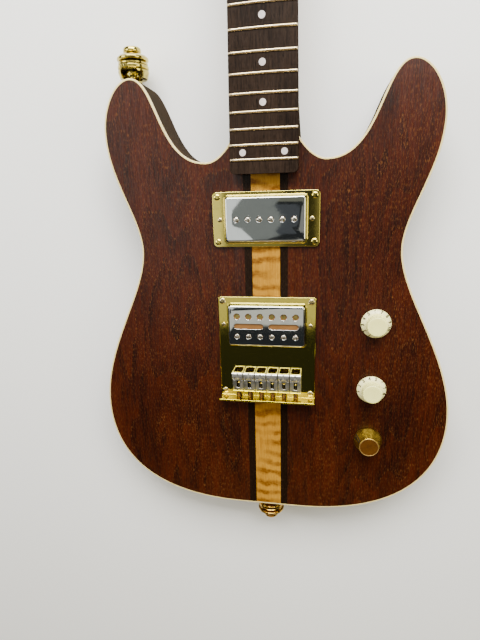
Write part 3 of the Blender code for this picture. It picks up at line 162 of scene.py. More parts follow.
def lathe(name: str, profile: Outline, sides: int = 48, flutes: int = 0, depth: float = 0.0) -> Obj:
    """Turn a profile round Z.

    Args:
        name: The object's name.
        profile: Pairs of radius and height. It starts and ends on the axis, or closes as a tube.
        sides: How many facets go round.
        flutes: How many flutes run down the turned surface.
        depth: How deep a flute is, as a share of the radius.

    Returns:
        The new object, standing on the origin.
    """
    points: list[Point] = []
    rows: list[list[int]] = []
    for radius, height in profile:
        if radius == 0:
            rows.append([len(points)] * sides)
            points.append((0.0, 0.0, height))
            continue
        rows.append(list(range(len(points), len(points) + sides)))
        for side in range(sides):
            angle = math.tau * side / sides
            reach = radius * (1 - depth * (0.5 - 0.5 * math.cos(flutes * angle)))
            points.append((reach * math.cos(angle), reach * math.sin(angle), height))
    open_ends = profile[0][0] == 0
    faces = []
    for low, high in zip(rows, rows[1:] if open_ends else rows[1:] + rows[:1]):
        for side in range(sides):
            after = (side + 1) % sides
            faces.append(list(dict.fromkeys([low[side], low[after], high[after], high[side]])))
    return solid(name, points, faces)


def block(name: str, low: Point, high: Point) -> Obj:
    """Make a box between two corners."""
    corners = [(low[0], low[1]), (high[0], low[1]), (high[0], high[1]), (low[0], high[1])]
    return loft(name, [lifted(corners, low[2]), lifted(corners, high[2])])


def rod(name: str, radius: float, low: float, high: float, sides: int = 32) -> Obj:
    """Make an upright cylinder."""
    return lathe(name, [(0, low), (radius, low), (radius, high), (0, high)], sides)


def rounded(half_x: float, half_y: float, radius: float, centre: tuple = (0, 0), steps: int = 7) -> Outline:
    """Return a rectangle with round corners.

    Args:
        half_x: Half its width.
        half_y: Half its length.
        radius: Radius of the corners.
        centre: Its middle.
        steps: Points on each corner.

    Returns:
        The outline's points, anticlockwise.
    """
    points = []
    for quarter, (side_x, side_y) in enumerate(((1, 1), (-1, 1), (-1, -1), (1, -1))):
        for step in range(steps):
            angle = math.pi / 2 * (quarter + step / (steps - 1))
            x = side_x * (half_x - radius) + radius * math.cos(angle)
            y = side_y * (half_y - radius) + radius * math.sin(angle)
            points.append((centre[0] + x, centre[1] + y))
    return points


def lifted(outline: Outline, height: float) -> Ring:
    """Lift a flat outline to a height."""
    return [(x, y, height) for x, y in outline]


def arc(centre: tuple, radius: float, start: float, end: float, steps: int) -> Outline:
    """Return points on an arc between two angles in degrees."""
    turns = [math.radians(blend(start, end, step / steps)) for step in range(steps + 1)]
    return [(centre[0] + radius * math.cos(a), centre[1] + radius * math.sin(a)) for a in turns]


def settle(piece: Obj) -> Obj:
    """Apply a piece's modifiers and its place to its mesh."""
    bpy.context.view_layer.update()
    graph = bpy.context.evaluated_depsgraph_get()
    mesh = bpy.data.meshes.new_from_object(piece.evaluated_get(graph))
    mesh.name = piece.name
    mesh.transform(piece.matrix_world)
    piece.modifiers.clear()
    piece.data = mesh
    piece.matrix_world = Matrix.Identity(4)
    return piece


def carve(piece: Obj, tools: list[Obj], way: Way = Way.CUT) -> Obj:
    """Change a piece with tools, which are used up.

    Args:
        piece: The piece to change.
        tools: Closed shapes that are cut away or joined on.
        way: Whether they are cut or joined.

    Returns:
        The changed piece.
    """
    for tool in tools:
        step = piece.modifiers.new(tool.name, "BOOLEAN")
        step.operation = way.value
        step.object = tool
        step.solver = "EXACT"
    settle(piece)
    for tool in tools:
        bpy.data.objects.remove(tool, do_unlink=True)
    return piece


def soften(piece: Obj, width: float, segments: int = 3, angle: float = 40) -> Obj:
    """Round a piece's edges and shade it smooth.

    Args:
        piece: The piece.
        width: How wide the rounding is.
        segments: Facets across the rounding.
        angle: Edges sharper than this many degrees are rounded.

    Returns:
        The rounded piece.
    """
    piece.data.shade_smooth()
    step = piece.modifiers.new("rounding", "BEVEL")
    step.width = width
    step.segments = segments
    step.limit_method = "ANGLE"
    step.angle_limit = math.radians(angle)
    step.use_clamp_overlap = False
    step.harden_normals = True
    step.miter_outer = "MITER_ARC"
    return settle(piece)


def framed(name: str, outer: tuple, window: tuple, lip: tuple, heights: tuple) -> Obj:
    """Make a plate with a window and a raised lip round it.

    Args:
        name: The object's name.
        outer: Half width, half length, corner radius and centre of the plate.
        window: The same of the window.
        lip: Width and height of the lip.
        heights: Heights of the plate's back and face.

    Returns:
        The plate, with a narrow band of faces along each edge so that the edges round evenly.
    """
    band = 0.0008
    back, face = heights
    width, rise = lip
    stages = [(outer, 0, back), (outer, 0, face), (outer, -band, face), (window, width + band, face)]
    stages += [(window, width, face), (window, width, face + rise), (window, 0, face + rise), (window, 0, back)]
    rings = [lifted(rounded(half_x + grow, half_y + grow, radius + grow, centre), height)
             for (half_x, half_y, radius, centre), grow, height in stages]
    return loft(name, rings, closed=True)


def smooth(piece: Obj, angle: float = 35) -> Obj:
    """Shade a piece smooth, apart from its sharp edges."""
    piece.data.shade_smooth()
    piece.data.set_sharp_from_angle(angle=math.radians(angle))
    return piece


def moved(piece: Obj, place: Point, turn: Point = (0, 0, 0)) -> Obj:
    """Carry a piece to a place, turned by angles in degrees round X, Y and Z."""
    turned = Euler([math.radians(angle) for angle in turn]).to_matrix().to_4x4()
    piece.data.transform(Matrix.Translation(place) @ turned)
    return piece


def copied(piece: Obj, name: str) -> Obj:
    """Return a copy of a piece with a mesh of its own."""
    twin = bpy.data.objects.new(name, piece.data.copy())
    bpy.context.scene.collection.objects.link(twin)
    return twin


def fused(name: str, pieces: list[Obj]) -> Obj:
    """Put several shapes into one object.

    Args:
        name: Name of the new object.
        pieces: The shapes, which are used up.

    Returns:
        The one object.
    """
    shape = bmesh.new()
    for piece in pieces:
        shape.from_mesh(piece.data)
        bpy.data.objects.remove(piece, do_unlink=True)
    mesh = bpy.data.meshes.new(name)
    shape.to_mesh(mesh)
    shape.free()
    whole = bpy.data.objects.new(name, mesh)
    bpy.context.scene.collection.objects.link(whole)
    return whole


# Shader building


class Graph:
    """Short ways to add nodes to one shader tree."""

    def __init__(self, tree: bpy.types.NodeTree) -> None:
        """Keep the tree that nodes are added to."""
        self.tree = tree

    def node(self, kind: str, inputs: dict | None = None, **settings: object) -> bpy.types.Node:
        """Add a node.

        Args:
            kind: The node's type.
            inputs: Socket name or number to a value, or to a socket that is linked to it.
            **settings: The node's own properties.

        Returns:
            The new node.
        """
        made = self.tree.nodes.new(kind)
        for name, value in settings.items():
            setattr(made, name, value)
        for key, value in (inputs or {}).items():
            if isinstance(value, bpy.types.NodeSocket):
                self.tree.links.new(value, made.inputs[key])
            else:
                made.inputs[key].default_value = value
        return made

    def noise(self, vector: Socket, scale: float = 1.0, detail: float = 4.0, rough: float = 0.55) -> Socket:
        """Return noise from 0 to 1 at a scale in features per metre."""
        inputs = {"Vector": vector, "Scale": scale, "Detail": detail, "Roughness": rough}
        return self.node("ShaderNodeTexNoise", inputs).outputs[0]

    def math(self, kind: str, first: Socket | float, second: Socket | float = 0.0) -> Socket:
        """Return the result of a sum on one or two values."""
        return self.node("ShaderNodeMath", {0: first, 1: second}, operation=kind).outputs[0]

    def window(self, value: Socket, low: float, high: float) -> Socket:
        """Return the value with low to high stretched to 0 to 1 and clipped."""
        inputs = {"Value": value, "From Min": low, "From Max": high}
        return self.node("ShaderNodeMapRange", inputs, clamp=True).outputs[0]

    def mix(self, share: Socket | float, first: Socket | tuple, second: Socket | tuple) -> Socket:
        """Return a mix of two colours."""
        inputs = {0: share, 6: first, 7: second}
        return self.node("ShaderNodeMix", inputs, data_type="RGBA").outputs[2]

    def stretched(self, vector: Socket, scale: tuple) -> Socket:
        """Return the vector with each axis scaled by its own number."""
        inputs = {0: vector, 1: scale}
        return self.node("ShaderNodeVectorMath", inputs, operation="MULTIPLY").outputs[0]


def shader_group(name: str, inputs: dict[str, str], outputs: dict[str, str]) -> tuple:
    """Start a shader node group.

    Args:
        name: The group's name.
        inputs: Socket name to socket type.
        outputs: The same for what it puts out.

    Returns:
        The group, its graph, its entry's sockets and its exit node.
    """
    group = bpy.data.node_groups.new(name, "ShaderNodeTree")
    for sockets, way in ((inputs, "INPUT"), (outputs, "OUTPUT")):
        for label, kind in sockets.items():
            group.interface.new_socket(label, in_out=way, socket_type=f"NodeSocket{kind}")
    graph = Graph(group)
    entry = graph.node("NodeGroupInput")
    leave = graph.node("NodeGroupOutput")
    return group, graph, entry.outputs, leave


def wood_grain_group() -> bpy.types.NodeTree:
    """Build the grain that every wood has: flecks and fibres along Y, growth lines and open pores."""
    inputs = {
        "Vector": "Vector",
        "Light": "Color",
        "Dark": "Color",
        "Pore": "Color",
        "Fleck": "Color",
        "Ring Strength": "Float",
        "Fleck Strength": "Float",
        "Pore Strength": "Float",
    }
    outputs = {"Colour": "Color", "Height": "Float", "Pores": "Float", "Gloss": "Float"}
    group, graph, entry, leave = shader_group("wood_grain", inputs, outputs)
    vector = entry["Vector"]
    fibre = graph.window(graph.noise(graph.stretched(vector, (900, 45, 900)), 1.0, 4.0, 0.6), 0.36, 0.64)
    broad = graph.window(graph.noise(graph.stretched(vector, (80, 8, 80)), 1.0, 4.0, 0.6), 0.35, 0.65)
    patch = graph.window(graph.noise(graph.stretched(vector, (30, 13, 30)), 1.0, 4.0, 0.6), 0.38, 0.62)
    bend = graph.noise(graph.stretched(vector, (10, 2.2, 10)), 1.0, 3.0, 0.45)
    ring = graph.math("FRACT", graph.math("MULTIPLY", bend, 24.0))
    late = graph.math("MULTIPLY", graph.window(ring, 0.1, 0.85), entry["Ring Strength"])
    early = graph.math("MULTIPLY", graph.window(ring, 0.86, 0.97), entry["Ring Strength"])
    tone = graph.math("ADD", graph.math("MULTIPLY", fibre, 0.5), graph.math("MULTIPLY", broad, 0.3))
    tone = graph.math("ADD", tone, graph.math("MULTIPLY", patch, 0.25))
    tone = graph.math("SUBTRACT", tone, late)
    fleck = graph.noise(graph.stretched(vector, (1350, 290, 1350)), 1.0, 2.0, 0.6)
    fleck = graph.window(fleck, 0.53, 0.66)
    place = graph.math("ADD", graph.math("MULTIPLY", patch, 0.6), graph.math("MULTIPLY", early, 3.5))
    place = graph.math("ADD", place, 0.4)
    fleck = graph.math("MULTIPLY", fleck, place)
    fleck = graph.math("MULTIPLY", fleck, entry["Fleck Strength"])
    pores = graph.noise(graph.stretched(vector, (1700, 190, 1700)), 1.0, 2.0, 0.5)
    pores = graph.window(pores, 0.60, 0.72)
    mask = graph.math("MULTIPLY", pores, entry["Pore Strength"])
    colour = graph.mix(tone, entry["Dark"], entry["Light"])
    colour = graph.mix(mask, colour, entry["Pore"])
    colour = graph.mix(fleck, colour, entry["Fleck"])
    height = graph.math("SUBTRACT", graph.math("MULTIPLY", fibre, 0.4), mask)
    dash = graph.window(graph.noise(graph.stretched(vector, (1400, 110, 1400)), 1.0, 3.0, 0.6), 0.38, 0.64)
    gloss = graph.math("ADD", graph.math("MULTIPLY", dash, 0.40), 0.68)
    for label, socket in (("Colour", colour), ("Height", height), ("Pores", mask), ("Gloss", gloss)):
        group.links.new(socket, leave.inputs[label])
    return group


def flame_group() -> bpy.types.NodeTree:
    """Build the flame of figured wood: soft bars across the grain that come and go."""
    inputs = {"Vector": "Vector", "Colour": "Color", "Shade": "Color", "Spacing": "Float", "Strength": "Float"}
    group, graph, entry, leave = shader_group("flame_figure", inputs, {"Colour": "Color"})
    vector = entry["Vector"]
    sway = graph.noise(graph.stretched(vector, (45, 26, 45)), 1.0, 3.0, 0.55)
    parts = graph.node("ShaderNodeSeparateXYZ", {0: vector})
    along = graph.math("MULTIPLY", parts.outputs[1], entry["Spacing"])
    phase = graph.math("ADD", along, graph.math("MULTIPLY", sway, 11.0))
    bars = graph.window(graph.math("SINE", phase), -0.5, 0.8)
    fade = graph.window(graph.noise(graph.stretched(vector, (50, 30, 50)), 1.0, 2.0, 0.5), 0.28, 0.55)
    dash = graph.window(graph.noise(graph.stretched(vector, (500, 1200, 500)), 1.0, 2.0, 0.6), 0.35, 0.65)
    share = graph.math("MULTIPLY", bars, graph.math("MULTIPLY", fade, graph.math("ADD", graph.math("MULTIPLY", dash, 0.5), 0.6)))
    share = graph.math("MULTIPLY", share, entry["Strength"])
    colour = graph.mix(share, entry["Colour"], entry["Shade"])
    group.links.new(colour, leave.inputs["Colour"])
    return group


def face_group() -> bpy.types.NodeTree:
    """Build the mask of a guitar's polished faces: 1 on its front and back, 0 on its sides. The woods use it for their
    coat and for the painted shade on their sides.
    """
    group, graph, _, leave = shader_group("polished_faces", {}, {"Face": "Float"})
    normal = graph.node("ShaderNodeNewGeometry").outputs["Normal"]
    rise = graph.math("ABSOLUTE", graph.node("ShaderNodeSeparateXYZ", {0: normal}).outputs[2])
    group.links.new(graph.window(rise, 0.35, 0.75), leave.inputs["Face"])
    return group


def metal_group() -> bpy.types.NodeTree:
    """Build the state of plated metal: smears, fine scratches and a little tarnish."""
    inputs = {"Vector": "Vector", "Bright": "Color", "Tarnish": "Color", "Amount": "Float", "Polish": "Float"}
    outputs = {"Colour": "Color", "Roughness": "Float", "Height": "Float"}
    group, graph, entry, leave = shader_group("metal_wear", inputs, outputs)
    vector = entry["Vector"]
    smear = graph.window(graph.noise(vector, 160.0, 4.0, 0.6), 0.42, 0.75)
    scratch = graph.window(graph.noise(graph.stretched(vector, (2600, 260, 900)), 1.0, 2.0, 0.5), 0.62, 0.75)
    spots = graph.window(graph.noise(vector, 520.0, 3.0, 0.6), 0.60, 0.72)
    share = graph.math("MULTIPLY", graph.math("MAXIMUM", smear, spots), entry["Amount"])
    colour = graph.mix(share, entry["Bright"], entry["Tarnish"])
    rough = graph.math("ADD", graph.math("MULTIPLY", smear, 0.7), graph.math("MULTIPLY", scratch, 0.5))
    rough = graph.math("MULTIPLY", graph.math("ADD", rough, 1.0), entry["Polish"])
    for label, socket in (("Colour", colour), ("Roughness", rough), ("Height", scratch)):
        group.links.new(socket, leave.inputs[label])
    return group


def moulding_group() -> bpy.types.NodeTree:
    """Build the surface of a moulding: faint clouds and a fine grain."""
    inputs = {"Vector": "Vector", "Colour": "Color", "Cloud": "Color", "Amount": "Float"}
    outputs = {"Colour": "Color", "Roughness": "Float", "Height": "Float"}
    group, graph, entry, leave = shader_group("moulded_surface", inputs, outputs)
    vector = entry["Vector"]
    cloud = graph.window(graph.noise(vector, 210.0, 4.0, 0.6), 0.35, 0.7)
    grain = graph.noise(vector, 3800.0, 2.0, 0.5)
    colour = graph.mix(graph.math("MULTIPLY", cloud, entry["Amount"]), entry["Colour"], entry["Cloud"])
    rough = graph.math("ADD", graph.math("MULTIPLY", grain, 0.12), 0.24)
    for label, socket in (("Colour", colour), ("Roughness", rough), ("Height", grain)):
        group.links.new(socket, leave.inputs[label])
    return group


GROUPS = {
    "grain": wood_grain_group(),
    "flame": flame_group(),
    "face": face_group(),
    "metal": metal_group(),
    "moulding": moulding_group(),
}


def opaque(colour: Colour) -> tuple:
    """Return a colour with full alpha."""
    return (*colour, 1.0)


def new_material(name: str) -> tuple[bpy.types.Material, Graph, bpy.types.Node]:
    """Start a material and return it with its graph and its shader."""
    made = bpy.data.materials.new(name)
    made.use_nodes = True
    return made, Graph(made.node_tree), made.node_tree.nodes["Principled BSDF"]


@dataclass(frozen=True)
class WoodFinish:
    """Lacquered or oiled wood.

    Attributes:
        name: The material's name.
        light: Colour of the light streaks.
        dark: Colour of the dark streaks.
        pore: Colour of the pores.
        fleck: Colour of the short flecks.
        side: Painted shade: the darker, greyer colour that the sides are mixed with.
        rings: How strongly growth rings show.
        flecks: How strongly short flecks show.
        pores: How strongly pores show.
        flame_shade: Colour of the flame's bars.
        flame_spacing: How close the bars are, in radians per metre.
        flame: How strongly the bars show.
        roughness: Roughness under the lacquer.
        lacquer: Weight of the clear coat on the faces.
        lacquer_roughness: Roughness of the clear coat.
        relief: Depth of the grain's bump.
    """

    name: str
    light: Colour
    dark: Colour
    pore: Colour
    fleck: Colour
    side: Colour
    rings: float = 0.25
    flecks: float = 0.5
    pores: float = 0.6
    flame_shade: Colour = (0.1, 0.05, 0.02)
    flame_spacing: float = 520.0
    flame: float = 0.0
    roughness: float = 0.45
    lacquer: float = 0.5
    lacquer_roughness: float = 0.22
    relief: float = 0.00012

    def material(self) -> bpy.types.Material:
        """Build the material."""
        made, graph, shader = new_material(self.name)
        place = graph.node("ShaderNodeTexCoord").outputs["Object"]
        inputs = {
            "Vector": place,
            "Light": opaque(self.light),
            "Dark": opaque(self.dark),
            "Pore": opaque(self.pore),
            "Fleck": opaque(self.fleck),
            "Ring Strength": self.rings,
            "Fleck Strength": self.flecks,
            "Pore Strength": self.pores,
        }
        grain = graph.node("ShaderNodeGroup", node_tree=GROUPS["grain"])
        fill(graph, grain, inputs)
        colour = grain.outputs["Colour"]
        if self.flame > 0:
            flame = graph.node("ShaderNodeGroup", node_tree=GROUPS["flame"])
            fill(graph, flame, {
                "Vector": place,
                "Colour": colour,
                "Shade": opaque(self.flame_shade),
                "Spacing": self.flame_spacing,
                "Strength": self.flame,
            })
            colour = flame.outputs["Colour"]
        face = graph.node("ShaderNodeGroup", node_tree=GROUPS["face"]).outputs["Face"]
        # Painted shade: the sides are mixed towards the darker side colour.
        edge = graph.window(graph.math("SUBTRACT", 1.0, face), 0.0, 1.5)
        bump = graph.node("ShaderNodeBump", {"Height": grain.outputs["Height"], "Distance": self.relief})
        rough = graph.math("ADD", graph.math("MULTIPLY", grain.outputs["Pores"], 0.25), self.roughness)
        fill(graph, shader, {
            "Base Color": graph.mix(edge, colour, opaque(self.side)),
            "Roughness": rough,
            "Specular IOR Level": 0.0,
            "Normal": bump.outputs[0],
            "Coat Weight": graph.math("MULTIPLY", face, graph.math("MULTIPLY", grain.outputs["Gloss"], self.lacquer)),
            "Coat Roughness": self.lacquer_roughness,
        })
        return made


@dataclass(frozen=True)
class MetalFinish:
    """Plated or bare metal.

    Attributes:
        name: The material's name.
        bright: Colour of clean metal.
        tarnish: Colour where it is dull.
        amount: How much of it is dull.
        polish: Roughness of clean metal.
        relief: Depth of the scratches.
    """

    name: str
    bright: Colour
    tarnish: Colour
    amount: float = 0.25
    polish: float = 0.06
    relief: float = 0.0000006

    def material(self) -> bpy.types.Material:
        """Build the material."""
        made, graph, shader = new_material(self.name)
        place = graph.node("ShaderNodeTexCoord").outputs["Object"]
        wear = graph.node("ShaderNodeGroup", node_tree=GROUPS["metal"])
        fill(graph, wear, {
            "Vector": place,
            "Bright": opaque(self.bright),
            "Tarnish": opaque(self.tarnish),
            "Amount": self.amount,
            "Polish": self.polish,
        })
        bump = graph.node("ShaderNodeBump", {"Height": wear.outputs["Height"], "Distance": self.relief})
        fill(graph, shader, {
            "Base Color": wear.outputs["Colour"],
            "Roughness": wear.outputs["Roughness"],
            "Metallic": 1.0,
            "Normal": bump.outputs[0],
        })
        return made


@dataclass(frozen=True)
class MouldedFinish:
    """Moulded, cast or pressed material that isn't metal.

    Attributes:
        name: The material's name.
        colour: Its main colour.
        cloud: Colour of its faint clouds.
        amount: How strong the clouds are.
        sheen: Weight of a clear coat.
        relief: Depth of its fine grain.
        shine: How strongly its own surface mirrors.
    """

    name: str
    colour: Colour
    cloud: Colour
    amount: float = 0.5
    sheen: float = 0.2
    relief: float = 0.00001
    shine: float = 0.5

    def material(self) -> bpy.types.Material:
        """Build the material."""
        made, graph, shader = new_material(self.name)
        place = graph.node("ShaderNodeTexCoord").outputs["Object"]
        surface = graph.node("ShaderNodeGroup", node_tree=GROUPS["moulding"])
        fill(graph, surface, {
            "Vector": place,
            "Colour": opaque(self.colour),
            "Cloud": opaque(self.cloud),
            "Amount": self.amount,
        })
        bump = graph.node("ShaderNodeBump", {"Height": surface.outputs["Height"], "Distance": self.relief})
        fill(graph, shader, {
            "Base Color": surface.outputs["Colour"],
            "Roughness": surface.outputs["Roughness"],
            "Normal": bump.outputs[0],
            "Specular IOR Level": self.shine,
            "Coat Weight": self.sheen,
            "Coat Roughness": 0.15,
        })
        return made


def fill(graph: Graph, node: bpy.types.Node, inputs: dict) -> None:
    """Set or link a node's inputs by name."""
    for key, value in inputs.items():
        if isinstance(value, bpy.types.NodeSocket):
            graph.tree.links.new(value, node.inputs[key])
        else:
            node.inputs[key].default_value = value


class Finish(Enum):
    """Every finish on the guitar."""

    # The fifth colour of each wood is painted shade, mixed onto its sides.
    WALNUT = WoodFinish(
        "walnut_top", (0.055, 0.0076, 0.0012), (0.0085, 0.0011, 0.0003), (0.006, 0.0008, 0.0003), (0.125, 0.044, 0.010),
        (0.042, 0.040, 0.030), rings=0.26, flecks=0.52, pores=0.35, lacquer=1.0, lacquer_roughness=0.30,
    )
    MAPLE = WoodFinish(
        "flamed_maple", (0.46, 0.225, 0.020), (0.27, 0.115, 0.009), (0.16, 0.055, 0.005), (0.55, 0.30, 0.04),
        (0.30, 0.14, 0.02), rings=0.04, flecks=0.35, pores=0.20, flame_shade=(0.13, 0.042, 0.004),
        flame_spacing=560.0, flame=1.0, lacquer=0.6, lacquer_roughness=0.25,
    )
    STRIPE = WoodFinish(
        "dark_stripe", (0.0115, 0.0055, 0.0026), (0.0045, 0.0019, 0.0009), (0.02, 0.01, 0.005), (0.04, 0.022, 0.012),
        (0.010, 0.006, 0.003), rings=0.04, flecks=0.3, pores=0.2, lacquer=0.6,
    )
    ROSEWOOD = WoodFinish(
        "rosewood_board", (0.028, 0.0165, 0.0110), (0.004, 0.0024, 0.0018), (0.003, 0.0018, 0.0012),
        (0.045, 0.028, 0.020), (0.015, 0.009, 0.007), rings=0.10, flecks=0.3, pores=0.8, roughness=0.55,
        lacquer=0.15, lacquer_roughness=0.40, relief=0.0002,
    )
    GOLD = MetalFinish("polished_gold", (0.89, 0.73, 0.17), (0.72, 0.56, 0.11), 0.3, 0.055)
    PLATE_GOLD = MetalFinish("plate_gold", (0.89, 0.75, 0.14), (0.70, 0.57, 0.10), 0.3, 0.055)
    # Painted reflection: a deeper, more saturated copy of the plate's gold for the flange's inner face.
    FLANGE_GOLD = MetalFinish("flange_gold", (0.86, 0.70, 0.03), (0.50, 0.36, 0.015), 0.6, 0.09)
    LOCK_GOLD = MetalFinish("satin_gold", (0.64, 0.53, 0.14), (0.26, 0.19, 0.04), 0.8, 0.13)
    # Painted reflection: an amber copy of the lock gold, standing for warm reflections on the tail lock.
    TAIL_GOLD = MetalFinish("tail_gold_painted_reflection", (0.66, 0.40, 0.065), (0.30, 0.16, 0.025), 0.8, 0.13)
    # Painted shade: a dark brown gold for the springs, which stand in shadow.
    AGED_GOLD = MetalFinish("spring_painted_shade", (0.16, 0.085, 0.05), (0.06, 0.028, 0.022), 0.6, 0.30)
    SCREW_GOLD = MetalFinish("screw_gold", (0.66, 0.56, 0.30), (0.40, 0.32, 0.15), 0.5, 0.18)
    # Painted shade: the dark finish put on the faces inside the saddles' hollows.
    SHADOWED = MetalFinish("painted_shade_recess", (0.085, 0.062, 0.028), (0.03, 0.020, 0.010), 0.6, 0.45)
    CHROME = MetalFinish("polished_chrome", (0.82, 0.84, 0.84), (0.62, 0.64, 0.65), 0.2, 0.04)
    SATIN_CHROME = MetalFinish("cast_chrome", (0.92, 0.91, 0.89), (0.50, 0.48, 0.44), 0.6, 0.28)
    FRET_WIRE = MetalFinish("fret_wire", (0.74, 0.60, 0.38), (0.42, 0.30, 0.17), 0.45, 0.24)
    NICKEL = MetalFinish("screw_nickel", (0.86, 0.80, 0.70), (0.55, 0.47, 0.38), 0.35, 0.16)
    STEEL = MetalFinish("bare_steel", (0.52, 0.51, 0.50), (0.28, 0.26, 0.24), 0.5, 0.28)
    BELL_GOLD = MetalFinish("lacquered_gold", (0.52, 0.34, 0.035), (0.38, 0.24, 0.025), 0.2, 0.30)
    RIM_GOLD = MetalFinish("rim_gold", (0.40, 0.25, 0.08), (0.32, 0.20, 0.06), 0.4, 0.55)
    BELL_TOP = MouldedFinish("amber_disc", (0.088, 0.031, 0.0030), (0.050, 0.017, 0.0018), 0.9, 0.6)
    CREAM = MouldedFinish("cream_binding", (0.82, 0.66, 0.28), (0.66, 0.50, 0.20), 0.5, 0.3)
    DIAL = MouldedFinish("off_white_dial", (0.95, 0.92, 0.34), (0.88, 0.83, 0.28), 0.5, 0.2)
    SKIRT = MouldedFinish("pale_skirt", (0.96, 0.90, 0.44), (0.90, 0.82, 0.36), 0.5, 0.2)
    PRINT = MouldedFinish("dial_print", (0.012, 0.010, 0.009), (0.03, 0.025, 0.02), 0.5, 0.0, 0.00001, 0.1)
    PEARL = MouldedFinish("pearl_dot", (0.64, 0.57, 0.56), (0.46, 0.40, 0.40), 0.8, 0.4)
    BONE = MouldedFinish("bone_nut", (0.82, 0.76, 0.62), (0.70, 0.62, 0.46), 0.5, 0.3)
    COPPER_COIL = MouldedFinish("copper_coil_form", (0.21, 0.098, 0.030), (0.14, 0.060, 0.016), 0.6, 0.1)
    SLUG = MetalFinish("coil_slug", (0.62, 0.50, 0.16), (0.30, 0.20, 0.07), 0.6, 0.30)
    BLACK = MouldedFinish("black_moulding", (0.016, 0.016, 0.017), (0.035, 0.034, 0.033), 0.6, 0.2)
    ORANGE = MouldedFinish("dipped_orange", (0.62, 0.20, 0.04), (0.45, 0.12, 0.02), 0.5, 0.5)


MATERIALS = {finish: finish.value.material() for finish in Finish}


def paint(piece: Obj, finish: Finish) -> Obj:
    """Give a piece its finish."""
    piece.data.materials.clear()
    piece.data.materials.append(MATERIALS[finish])
    return piece


def dress(piece: Obj, finish: Finish, body: str, slot: str, *nodes: str) -> Obj:
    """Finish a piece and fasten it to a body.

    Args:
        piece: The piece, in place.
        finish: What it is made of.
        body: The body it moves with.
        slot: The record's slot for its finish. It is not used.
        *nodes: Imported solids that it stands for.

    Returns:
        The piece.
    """
    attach(paint(piece, finish), body)
    if nodes:
        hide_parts(*nodes)
    LOG.info("%s: %d faces, rides on %s", piece.name, len(piece.data.polygons), body)
    return piece


def dress_solid(node: str, finish: Finish) -> None:
    """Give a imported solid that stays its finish."""
    solid_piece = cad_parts[node]
    solid_piece.data.materials.clear()
    solid_piece.data.materials.append(MATERIALS[finish])
    LOG.info("%s: kept, %s", node, finish.name.lower())


# Small hardware


@dataclass(frozen=True)
class ScrewHead:
    """A domed screw head that stands on Z = 0.

    Attributes:
        radius: Radius of the head.
        height: Height of its dome.
        drive: What is cut into it.
        foot: How far its shank goes down.
    """

    radius: float
    height: float
    drive: Drive = Drive.CROSS
    foot: float = 0.0006

    def make(self, name: str) -> Obj:
        """Build one head.

        Args:
            name: The object's name.

        Returns:
            The head, at the origin.
        """
        rim = 0.3 * self.height
        dome = [(self.radius * math.cos(a), rim + (self.height - rim) * math.sin(a))
                for a in (math.pi / 2 * step / 7 for step in range(7))]
        profile = [(0, -self.foot), (0.93 * self.radius, -self.foot), (0.93 * self.radius, 0), (self.radius, 0.3 * rim)]
        head = lathe(name, [*profile, *dome, (0, self.height)], 36)
        depth = 0.25 * self.height
        reach, width = 0.64 * self.radius, 0.15 * self.radius
        tools = []
        if self.drive is Drive.SLOT:
            tools = [block("slot", (-1.2 * self.radius, -width, depth), (1.2 * self.radius, width, 2 * self.height))]
        if self.drive is Drive.CROSS:
            tools = [
                block("cross_a", (-reach, -width, depth), (reach, width, 2 * self.height)),
                block("cross_b", (-width, -reach, depth), (width, reach, 2 * self.height)),
            ]
        if self.drive is Drive.HEXAGON:
            tools = [rod("socket", 0.5 * self.radius, depth, 2 * self.height, 6)]
        return smooth(carve(head, tools))

    def row(self, name: str, places: list[Point], turn: float = 23.0, lean: Point = (0, 0, 0)) -> Obj:
        """Build a group of heads.

        Args:
            name: The group's name.
            places: Where each head stands.
            turn: How far each is turned from the one before it, in degrees.
            lean: Turn that brings their axis from Z to where they point.

        Returns:
            The heads as one object.
        """
        pattern = self.make("pattern")
        heads = []
        for index, place in enumerate(places):
            head = moved(copied(pattern, f"{name}_{index}"), (0, 0, 0), (0, 0, 31 + turn * index))
            heads.append(moved(head, place, lean))
        bpy.data.objects.remove(pattern, do_unlink=True)
        return fused(name, heads)


def threaded_rod(name: str, radius: float, low: float, high: float, pitch: float = 0.0006) -> Obj:
    """Make an upright rod with thread crests all the way.

    Args:
        name: The object's name.
        radius: Radius over the crests.
        low: Height of its foot.
        high: Height of its top.
        pitch: Distance between crests.

    Returns:
        The rod, round the Z axis.
    """
    root = 0.84 * radius
    turns = round((high - low) / pitch)
    profile = [(0, low)]
    for turn in range(turns):
        profile += [(root, low + pitch * turn), (radius, low + pitch * (turn + 0.5))]
    return smooth(lathe(name, [*profile, (root, high), (0, high)], 16), 60)


# Body


